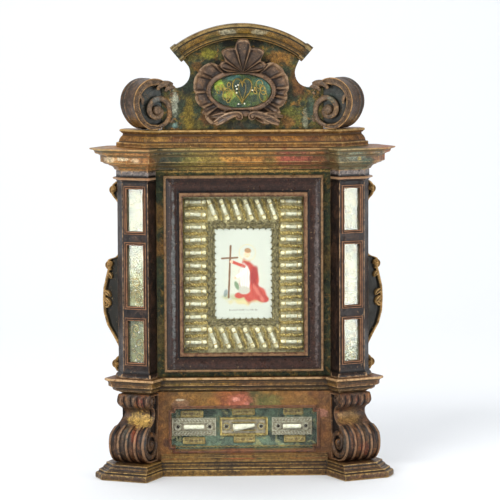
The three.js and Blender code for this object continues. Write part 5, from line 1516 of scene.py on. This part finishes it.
attic_line, attic_relief = moulding([
    (-6, CORNICE_TOP + GAP), (12.4, CORNICE_TOP + GAP), bow((12.9, 444), (12.4, 449), -0.5), (11.4, 449.6),
    (9.2, 449.9), bow((8.6, 450.6), (3.8, 458.6), 1.0), (3.4, 460.2), (3.4, 461.4), (4.8, 461.7),
    bow((5.2, 462.0), (7.6, 464.0), -0.5), (7.8, 466.0), (6.8, ATTIC_TOP), (-8, ATTIC_TOP),
], 66)
attic_paint = painted(
    "attic_paint", [(130, 92, 36), (92, 62, 32), (148, 108, 46)], (204, 170, 110), (78, 54, 28), patches=30.0,
    rub=0.65,
    zones=[(-170, 124, 84, 44), (-110, 140, 100, 38), (-60, 104, 72, 34), (-20, 146, 102, 42),
           (30, 112, 74, 34), (60, 140, 92, 40), (96, 120, 76, 38), (170, 110, 72, 44)], level=0.455,
           zone_share=0.6,
    spots=[(-84, 455, 16, 5, 96, 56, 28, 0.7), (-40, 454, 14, 6, 120, 76, 30, 0.6),
           (-8, 456, 12, 5, 150, 104, 40, 0.6), (24, 454, 14, 6, 104, 56, 26, 0.7),
           (62, 455, 13, 6, 146, 96, 36, 0.6), (92, 454, 12, 6, 92, 56, 30, 0.7),
           (-118, 456, 12, 6, 140, 104, 52, 0.6), (120, 456, 12, 6, 128, 96, 50, 0.6)])
attic_flat, attic_far, attic_corners = mitred(attic_ring(0.0), attic_ring(1.0) - attic_ring(0.0),
                                              attic_line[:, 0])
attic_marks = np.clip(attic_relief[:, None] + attic_corners[None] * 0.8, -1, 1)
attic_share = np.linspace(0, 1, len(attic_line))[:, None]
piece("attic_course",
      [carved(raised(attic_flat, attic_line[:, 1]), attic_marks, 0.22, 0.5, 91, attic_far, attic_share)],
      attic_paint, "marbled_wood", "attic_moulding")

# Pediment board: the flat board behind cartouche and scrolls, sawn with a round notch at each side and
# marbled in green, ochre and rust.
board_paint = painted(
    "board_paint", [(84, 76, 32), (48, 56, 38), (120, 86, 36)], (150, 130, 90), (24, 24, 16), patches=58.0,
    vein=0.5,
    spots=[(-91.5, 502, 5.5, 18, 150, 152, 132, 0.8), (-91, 473, 4.5, 5, 120, 150, 140, 0.7),
           (-72, 486, 7, 26, 118, 98, 28, 0.75), (-76, 530, 11, 22, 36, 44, 34, 0.7),
           (-46, 568, 12, 7, 122, 116, 34, 0.75), (-62, 552, 8, 6, 124, 84, 34, 0.6),
           (-48, 482, 10, 9, 96, 52, 28, 0.6), (-58, 508, 5, 20, 36, 52, 36, 0.6),
           (64, 486, 13, 16, 106, 104, 36, 0.65), (60, 478, 10, 9, 120, 64, 34, 0.55),
           (74, 528, 12, 20, 98, 58, 26, 0.7), (48, 562, 20, 10, 128, 88, 34, 0.75),
           (62, 520, 6, 12, 38, 48, 34, 0.7), (92, 496, 6, 18, 52, 70, 58, 0.7),
           (84, 480, 3.5, 14, 138, 138, 112, 0.6), (0, 472, 32, 7, 38, 44, 38, 0.75),
           # the near-black patches at heights 553 and 582 are painted shadow: in the gaps beside the shell's
           # lower lobes and under the arch
           (-98, 480, 6, 14, 34, 48, 46, 0.5), (-34, 553, 5, 8, 14, 16, 10, 0.95),
           (35, 553, 5, 8, 14, 14, 10, 0.95), (-17, 582, 9, 5, 18, 20, 12, 0.9),
           (19, 582, 10, 5, 18, 18, 12, 0.9)], back=20.5)
node_finish("pediment_board", board_paint)

# Arch moulding: one moulding cut to a segment and pinned over the board's top edge, ochre-gold with worn
# grey patches.
ARCH_MIDDLE, ARCH_RADIUS, ARCH_CENTRE, ARCH_SPAN = -1.5, 149.5, 459.3, 39.2
arch_line, arch_relief = moulding([
    (0, 24), (0, -12.6), bow((0.1, -13.4), (1.6, -14.8), -0.3), (4.2, -14.8), (4.6, -13.2), (5.0, -12.9),
    bow((5.4, -12.8), (13.0, -8.4), 0.9), (13.6, -7.4), (14.6, -7.2), (14.8, -6.6),
    bow((15.0, -6.9), (17.6, -6.9), -0.4), (18.0, -4.6), bow((18.4, -4.4), (20.4, -3.2), -0.4), (21, 1.5),
    (21, 3.7), (21, 24),
], 68, soft=0.22, closed=True)
arch_turn = np.radians(np.linspace(90 + ARCH_SPAN, 90 - ARCH_SPAN, 170))


def round_arch(section, turn):
    """A section of (in from the arch's radius, depth) swept along its turn."""
    flat = (ARCH_MIDDLE, ARCH_CENTRE) + round_points(turn[:, None], ARCH_RADIUS - section[:, 0])
    return np.stack([flat[..., 0], np.broadcast_to(section[:, 1], flat.shape[:2]), flat[..., 1]], axis=-1)


arch_points = round_arch(arch_line, arch_turn)
block_end = np.clip((np.abs(np.degrees(arch_turn) - 90) - 35.6) / 0.3, 0, 1) * 1.7
arch_points = arch_points + outward(arch_points) * block_end[:, None, None] * (arch_points[..., 1:2] < 20)
arch_paint = painted(
    "arch_paint", [(112, 84, 32), (78, 66, 32), (130, 98, 44)], (170, 146, 98), (40, 36, 22), patches=34.0,
    rub=0.6,
    bands=[(0.0, 140, 140, 110), (0.3, 190, 180, 150), (0.42, 255, 245, 215), (0.62, 255, 245, 215),
           (0.7, 150, 150, 120), (0.76, 120, 130, 96), (1.0, 120, 128, 100)],
    zones=[(-100, 60, 62, 36), (-86, 96, 78, 38), (-60, 134, 102, 40), (-20, 120, 100, 56),
           (10, 138, 108, 42), (60, 118, 84, 40), (84, 96, 70, 40), (100, 56, 54, 36)], zone_share=0.6,
           slant=0.0, back=22.5,
    spots=[(-20, 597, 13, 4, 150, 144, 118, 0.8), (20, 597, 12, 4, 142, 136, 110, 0.75),
           (-92, 562, 10, 14, 44, 52, 36, 0.85), (89, 562, 10, 14, 42, 46, 34, 0.85),
           (-40, 590, 12, 4, 70, 72, 36, 0.6), (46, 590, 14, 4, 84, 70, 34, 0.6)])
joint = np.array([(20.0, 6.0), (23.0, 6.0), (23.0, 21.0), (20.0, 21.0)])
joint_points = round_arch(joint, arch_turn[8:-8])
piece("arch_carving", [beam(arch_relief, arch_points, arch_turn * ARCH_RADIUS, 0.2, 0.6, 101),
                       shell(joint_points, -0.8, 0.0, 0.9)],
      arch_paint, "marbled_wood", "arch_moulding")

# Attic scrolls: thick rolls that turn in towards the middle; on the face a broad band leaves the board, runs
# round the rim and winds in to an eye, with a deep channel between its turns.
FACE_TURN = np.radians(28)
SCROLL_EYE = (116.0, -7.0, 494.8)
SCROLL_WIDTH, SCROLL_SINK, SCROLL_SETTLE = 42.0, 7.0, 4.0
SIDEWAYS = np.array((np.cos(FACE_TURN), -np.sin(FACE_TURN)))
DEEP = np.array((np.sin(FACE_TURN), np.cos(FACE_TURN)))
SCROLL_FLOOR = ATTIC_TOP + GAP - SCROLL_EYE[2]


def scroll_place(across, rise, depth, side):
    """Points of an attic scroll: across its face, up, and back from the face."""
    across, rise, depth = np.broadcast_arrays(across, rise, depth)
    plan = np.array(SCROLL_EYE[:2]) + across[..., None] * SIDEWAYS + depth[..., None] * DEEP
    return np.stack([side * plan[..., 0], plan[..., 1], SCROLL_EYE[2] + rise], axis=-1)


def scroll_radius(angle):
    """Distance of the roll's rim from its eye at an angle."""
    curve = 31 + 9 * np.sin(angle) + 2.5 * np.cos(angle) - 1.5 * np.cos(2 * angle)
    return curve + SCROLL_SETTLE * np.clip(-np.sin(angle), 0, 1) ** 2


ROLL_SHARES = (0, 0.02, 0.05, 0.3, 0.58, 0.65, 0.69, 0.75, 0.86, 0.9, 0.94, 1)
ROLL_DEPTHS = (0.5, 0.1, 0.9, 1.9, 1.2, 0.3, 0.3, 1.2, 1.2, 0.3, 0.5, 1.4)
ROLL_MARKS = (1.0, 0.9, -0.4, 0, -0.3, 0.6, 0.6, -0.4, -0.3, 0.5, 0.2, 0.6)
COIL_MIDDLE = np.array((-4.4, -1.9))  # from the roll's own middle
COIL_TURNS = (92, 140, 180, 270, 360, 450, 520, 575)
COIL_RADII = (21.2, 19.6, 17.8, 16.4, 13.2, 8.8, 6.0, 4.2)
COIL_HALVES = (2.6, 3.6, 4.0, 3.7, 3.8, 3.2, 2.6, 1.8)
SCROLL_LEAVES = (
    ((-26, 33), (-18, 36), (-8, 34), (-4, 28), 4.0), ((-30, 25), (-27, 30), (-19, 31), (-15.5, 25), 3.6),
    ((-31, 13), (-31, 19), (-27, 23), (-23, 20), 2.8), ((25, 20), (21, 17), (18.5, 14), (19.5, 8), 2.4),
    ((-22, -18), (-26, -15), (-29, -11), (-27.5, -7.5), 2.4))


def attic_scroll(side):
    """The fluted roll with its sunk face, the wound band, the eye, and the leaf curls beside the board."""
    turn = np.linspace(0, 2 * np.pi, 180, endpoint=False)
    rim = scroll_radius(turn)
    under = np.clip(-np.sin(turn), 0, 1)
    band = (9.6 - 2.6 * under) * (1 - 0.8 * np.clip(-np.cos(turn), 0, 1) ** 0.7)
    face = np.array([  # distance in from the rim as a share of the band, further in, depth, relief, tone
        (1, 8.0, SCROLL_SINK, -0.2, 0.0), (1, 1.6, SCROLL_SINK, -0.5, 0.02),
        (1, 0.8, SCROLL_SINK * 0.6, -0.8, 0.05), (1, 0.3, 1.2, 0.3, 0.2), (1, -0.7, 0.1, 1.0, 0.2),
        (1, -1.9, 0.5, 0.3, 0.25), (0.6, 0.0, 1.7, -0.2, 0.3), (0.3, 0.0, 1.1, 0.0, 0.3),
        (0, 1.9, 0.5, 0.3, 0.35), (0, 1.0, -0.2, 1.0, 0.35)])
    share = np.linspace(0, 1, 48)
    face_far = rim - band * face[:, :1] - face[:, 1:2]
    roll_far = rim - np.interp(share, ROLL_SHARES, ROLL_DEPTHS)[:, None]
    depth, marks, tones = np.concatenate([face[:, 2:], np.stack([
        share * SCROLL_WIDTH, np.interp(share, ROLL_SHARES, ROLL_MARKS), 0.4 + 0.6 * share],
        axis=1)]).T[..., None]
    flat = round_points(turn, np.vstack([face_far, roll_far]))
    points = scroll_place(flat[..., 0], np.maximum(flat[..., 1], SCROLL_FLOOR), depth, side)
    made = [carved(points, marks, 0.25, 0.6, 111, turn, tones)]

    def lay(rod):
        return scroll_place(rod[..., 0], rod[..., 1], SCROLL_SINK - rod[..., 2], side)

    swing = np.linspace(-92, -560, 150)
    far = np.interp(-swing, COIL_TURNS, COIL_RADII)
    half = np.interp(-swing, COIL_TURNS, COIL_HALVES)
    path = COIL_MIDDLE + smoothed(round_points(np.radians(swing), far), 3.0, 1.0, False)
    coil = swept(path, half, half, DOME_SECTION, (SCROLL_SINK - half + 0.9)[:, None])
    made.append(carved(lay(coil), DOME_RELIEF, 0.1, 0.4, 112, swing[:, None], 0.3))
    made.append(bead(lay(np.array([*COIL_MIDDLE, SCROLL_SINK - 5.4])), 7.4, 16, 30, 0.3))
    taper = np.sin(np.linspace(0.3, np.pi - 0.35, 36)) ** 0.6
    for a, b, c, d, size in SCROLL_LEAVES:
        leaf = swept(bent(a, b, c, d, 36), size * taper, size * taper, DOME_SECTION, SCROLL_SINK - size * 0.4)
        made.append(carved(lay(leaf), DOME_RELIEF, 0.2, 0.4, 113, 0.0, 0.3))
        made.append(bead(lay(np.array([*d, SCROLL_SINK - 0.2])), size * 0.62, 8, 14, 0.3))
    return made


scroll_paint = painted(
    "scroll_paint", [(84, 64, 44), (64, 54, 42), (116, 84, 42)], (182, 142, 92), (24, 26, 20), patches=60.0,
    vein=0.2,
    bands=[(0.0, 52, 66, 64), (0.06, 40, 46, 42), (0.15, 112, 84, 54), (0.3, 110, 88, 68), (0.4, 104, 72, 46),
           (0.6, 72, 54, 44), (1.0, 64, 48, 40)], band_share=0.62, band_kind="MIX",
    spots=[(-146, 478, 12, 9, 132, 92, 36, 0.7), (-114, 505, 6, 8, 84, 102, 104, 0.5),
           (-98, 487, 5, 8, 140, 96, 46, 0.6), (150, 480, 12, 9, 120, 88, 40, 0.6),
           (118, 508, 6, 8, 64, 84, 72, 0.5)])
for side, hand in HANDS:
    piece(f"scroll_carving_{hand}", attic_scroll(side), scroll_paint, "carved_scroll", f"attic_scroll_{hand}")

# Cartouche: carved from one block, an oval frame of ruffled leaves under a five-lobed shell, with two small
# scrolls below; mauve-brown bronze paint over bare ridges.
CARTOUCHE = np.array((-2.0, 518.6))
OVAL_HALF, OVAL_RISE = 41.0, 23.0
BOARD_FRONT = 4.0
CREST_LEAN = 9.0
turn = np.linspace(-np.pi / 2, 1.5 * np.pi, 480, endpoint=False)
SIDE_LEAF = np.array([  # direction in degrees up from level, and the leaf's reach from the oval's centre
    (-90, 33), (-75, 34), (-64, 42), (-56, 53), (-47, 60), (-40, 60.5), (-35, 59.5), (-33, 57.5), (-29, 60.5),
    (-24, 55), (-20, 59), (-10, 62.3), (-5, 62), (-2, 61), (1, 63.4), (10, 64.6), (18, 64.6), (23, 62.6),
    (27, 63), (36, 60), (42, 57), (45, 54), (49, 46), (62, 42), (90, 42)])
LEFT_VEINS = np.array((45.0, 22.5, -1.0, -22.5, -33.5, -52.0, -66.0))
RIGHT_VEINS = np.array((43.0, 22.5, 4.0, -9.0, -23.5, -36.0, -52.0, -66.0))


def from_level(angle):
    """Degrees up from level, the same to left and right."""
    degrees = np.degrees((angle + np.pi / 2) % (2 * np.pi) - np.pi / 2)
    return np.where(degrees > 90, 180 - degrees, degrees)


folded = from_level(turn)
outer = smoothed(np.interp(folded, SIDE_LEAF[:, 0], SIDE_LEAF[:, 1])[:, None], 0.6, 1.0, True)[:, 0]
off_vein = np.where(np.cos(turn) < 0, np.abs(folded[:, None] - LEFT_VEINS).min(axis=1),
                    np.abs(folded[:, None] - RIGHT_VEINS).min(axis=1))
vein = np.exp(-(off_vein / 1.7) ** 2)
cup = np.clip(off_vein / 5.5, 0, 1) ** 0.8
fine_fold = np.sin(folded * np.pi / 5.2)
inner = 1 / np.hypot(np.cos(turn) / OVAL_HALF, np.sin(turn) / OVAL_RISE)
# share from opening to rim, stand before the board's front, how much the leaf's folds count
SECTION = np.array([
    (0, 0.3, 0), (0, 4.2, 0), (0.015, 5.6, 0), (0.05, 6.6, 0), (0.1, 6.9, 0), (0.16, 6.8, 0),
    (0.21, 6.2, 0.1), (0.25, 5.2, 0.4), (0.29, 4.9, 0.7), (0.36, 5.2, 0.9), (0.45, 5.8, 1), (0.55, 6.5, 1),
    (0.66, 7.3, 1), (0.76, 8.2, 1), (0.84, 9.4, 1), (0.9, 10.6, 0.9), (0.95, 11.0, 0.7), (1.0, 9.8, 0.5),
    (1.0, 7.6, 0.4), (0.985, 4.0, 0.2), (0.96, 0.3, 0)])
radius = inner + (outer - inner) * SECTION[:, 0, None]
flat_rim = 1 - 0.8 * np.clip((SECTION[:, 0, None] - 0.8) / 0.15, 0, 1)
fold = SECTION[:, 2, None] * (2.2 * vein - 3.2 * cup * flat_rim + 0.3 * fine_fold)
sunk_foot = 1 - 0.45 * np.clip((-52 - folded) / 14, 0, 1)
under_shell = 1 - 0.5 * np.exp(-((folded - 90) / 27) ** 4) * np.clip(SECTION[:, 0, None] * 6 - 1, 0, 1)
stand = (SECTION[:, 1, None] + fold) * sunk_foot * under_shell
x = CARTOUCHE[0] + radius * np.cos(turn)
z = CARTOUCHE[1] + radius * np.sin(turn)
ring_points = np.stack(np.broadcast_arrays(x, BOARD_FRONT - GAP - stand, z), -1)
edge_marks = np.array([0, 0.1, 0.5, 0.5, 0.2, 0.3, 0.4, -0.6, -0.9, -0.5, -0.3, -0.2, -0.1, 0.1, 0.5, 1.0,
                       1.0, 0.8, 0, 0, 0])
ring_marks = np.clip(edge_marks[:, None] + 1.1 * vein * SECTION[:, 2, None]
                     - 0.6 * SECTION[:, 2, None] * np.exp(-((off_vein - 3.0) / 1.2) ** 2), -1, 1)
cartouche_shells = [shell(hand_worked(ring_points, ring_marks, True, 0.25, 0.5, 121), ring_marks, turn[None],
                          SECTION[:, 0, None], loop=True)]
BEADS_OUT = 4.0  # the row of beads runs this far outside the oval
bead_turns = np.radians([*np.arange(-46, 50, 6.4), 168, 176, 184, 192])
for spot in CARTOUCHE + (OVAL_HALF + BEADS_OUT, OVAL_RISE + BEADS_OUT) * round_points(bead_turns):
    cartouche_shells.append(bead((spot[0], BOARD_FRONT - GAP - 7.6, spot[1]), 1.7, 7, 10))
SHELL_HUB = np.array((0.3, 543.0))
SHELL_REACH = np.array([  # degrees away from straight up, and the shell's reach from its hub
    (0, 46), (8, 45.4), (12, 43), (16, 36.4), (18, 35.6), (24, 37), (34, 40), (44, 41), (47, 39), (50, 34),
    (54, 29.4), (58, 29.2), (62, 32), (70, 33.4), (75, 32), (79, 28), (84, 22), (90, 15), (94, 12)])
RIBS = np.array((16.5, 54.5, 82.0))
fan = np.radians(np.linspace(-4, 184, 240))
away = np.abs(np.degrees(fan) - 90)
fan_reach = smoothed(np.interp(away, SHELL_REACH[:, 0], SHELL_REACH[:, 1])[:, None], 1.2, 1.0, False)[:, 0]
off_rib = np.abs(away[:, None] - RIBS[None]).min(axis=1)
t = np.linspace(0, 1, 42)[:, None]
rib = np.exp(-(off_rib * (0.3 + t) / 1.9) ** 2)
trough = np.clip(off_rib / 8.0, 0, 1) ** 0.8
fan_stand = 9.0 + 3.6 * np.sin(np.clip(t, 0, 1) * np.pi * 0.55) - 5.0 * np.clip((t - 0.95) / 0.05, 0, 1) ** 2
fan_stand = fan_stand + 2.6 * rib * (1.1 - 0.7 * t) + 1.4 * np.exp(-((t - 0.92) / 0.05) ** 2)
fan_stand = fan_stand - 4.2 * trough * np.sin(np.pi * np.clip(t * 0.9 + 0.05, 0, 1)) ** 0.6
fan_x = SHELL_HUB[0] + t * fan_reach * np.cos(fan)
fan_z = SHELL_HUB[1] + t * fan_reach * np.sin(fan)
lean = CREST_LEAN * np.clip((fan_z - 556) / 28, 0, 1) ** 1.1
fan_front = np.stack([fan_x, BOARD_FRONT - GAP - fan_stand - lean, fan_z], -1)
fan_back = np.stack([fan_x, np.broadcast_to(BOARD_FRONT - GAP - 0.3 - lean, fan_x.shape), fan_z], -1)[::-1]
fan_points = np.concatenate([fan_front, fan_back[1:]], axis=0)
fan_marks = np.clip(1.1 * rib - 0.7 * np.exp(-((off_rib - 5) / 2.4) ** 2) * (t > 0.12)
                    + 1.1 * np.exp(-((t - 0.94) / 0.04) ** 2) - 0.25 * (1 - rib), -1, 1)
fan_marks = np.concatenate([np.broadcast_to(fan_marks, fan_x.shape),
                            np.zeros((len(t) - 1, len(fan)))], axis=0)
fan_points, fan_marks = fan_points.transpose(1, 0, 2), fan_marks.T
cartouche_shells.append(shell(hand_worked(fan_points, fan_marks, False, 0.1, 0.4, 122), fan_marks, 0.0, 0.6))
leaf_place = plane_place(BOARD_FRONT - GAP)
LEAF_FOOT = (5.6, 0.0)  # the two small scrolls meet a little right of the oval's middle
for side in (-1, 1):
    reach = 41 if side < 0 else 45
    stalk = bent((reach, -43), (32, -38), (22, -30), (9.3, -30.2), 46)
    wound = curl((9.3, -34.0), 3.8, 0.8, 1.4, 90, 1, 46)
    tips = (np.vstack([stalk, wound[3:]]), bent((24, -33), (32, -31), (39, -33), (reach + 5, -34), 30))
    for path, widths in zip(tips, ((3.8, 6.0, 5.4, 3.2, 1.3), (2.8, 4.2, 4.6, 3.8, 1.8))):
        path = smoothed(path * (side, 1) + CARTOUCHE + LEAF_FOOT, 1.4, 1.0, False)
        half = np.interp(np.linspace(0, 1, len(path)), [0, 0.12, 0.3, 0.55, 1], widths)
        rise = 2.0 + half * 0.5
        band = swept(path, half, rise, BAND_SECTION, rise[:, None] * 0.4 + 6.2)
        band_marks = np.broadcast_to(BAND_RELIEF[None], band.shape[:2])
        worked = hand_worked(leaf_place(band), band_marks, False, 0.3, 0.5, 123)
        cartouche_shells.append(shell(worked, band_marks, 0.0, 0.8))
    eye = (CARTOUCHE[0] + LEAF_FOOT[0] + side * 9.3, BOARD_FRONT - 12.2, CARTOUCHE[1] - 34.0)
    cartouche_shells.append(bead(eye, 1.9, 8, 14))
cartouche_shells.append(bead((CARTOUCHE[0] + LEAF_FOOT[0], BOARD_FRONT - 8.4, CARTOUCHE[1] - 31),
                             3.2, 10, 16))
cartouche_paint = painted(
    "cartouche_paint", [(112, 86, 64), (92, 72, 56), (126, 94, 64)], (184, 152, 118), (40, 29, 22),
    patches=70.0, vein=0.0, rub=0.7, cracks=0.2, rough=(0.36, 0.56), gloss=0.4, mottled=0.6)
piece("cartouche_carving", cartouche_shells, cartouche_paint, "carved_leaf", "cartouche")

# Cartouche contents: a heart and loops bent from thin bronze wire on green marbled paper, with seed pearls
# between them.
oval_place = plane_place(2.4)
heart_t = np.linspace(-np.pi, np.pi, 120)
heart = np.stack([16 * np.sin(heart_t) ** 3, 13 * np.cos(heart_t) - 5 * np.cos(2 * heart_t)
                  - 2 * np.cos(3 * heart_t) - np.cos(4 * heart_t)], 1)
wires = cord(CARTOUCHE + (1.4, 2.4) + heart * (0.8, 1.16), 0.95, 0.9, oval_place, 3.2)
wires += cord(CARTOUCHE + (1.6, 1.0) + heart * (0.3, 0.9), 0.5, 0.8, oval_place, 2.6)
chance = np.random.default_rng(31)
for k in range(16):
    side = -1 if k % 2 else 1
    middle = CARTOUCHE + (side * chance.uniform(15, 31), chance.uniform(-8, 9))
    wide, tall, lean = chance.uniform(3, 6), chance.uniform(6, 9.5), chance.uniform(-0.7, 0.7)
    loop = np.stack([wide * np.cos(round_turn), tall * np.sin(round_turn)], 1)
    loop = loop @ np.array([(np.cos(lean), np.sin(lean)), (-np.sin(lean), np.cos(lean))])
    wires.append(wire(middle + loop * (1 - 0.2 * k % 3 / 3), 0.58, 0.7 + 0.02 * k, oval_place, 5))
bronze_wire = plain("bronze_wire", (176, 150, 72), 0.36, 0.6, 0.8, 420, (96, 76, 30))
piece("cartouche_wires", wires, bronze_wire, "gold_braid")
heart_pearls = [bead((CARTOUCHE[0] + dx, 1.5, CARTOUCHE[1] + dz), 1.15) for dx, dz in (
    (-4, 8.0), (-7, 6.4), (-5.6, 2.8), (-6, -2.4), (15, 1.0), (-3.6, -17.4), (4.4, -17.0))]
piece("cartouche_pearls", heart_pearls, pearl, "silver_lace")
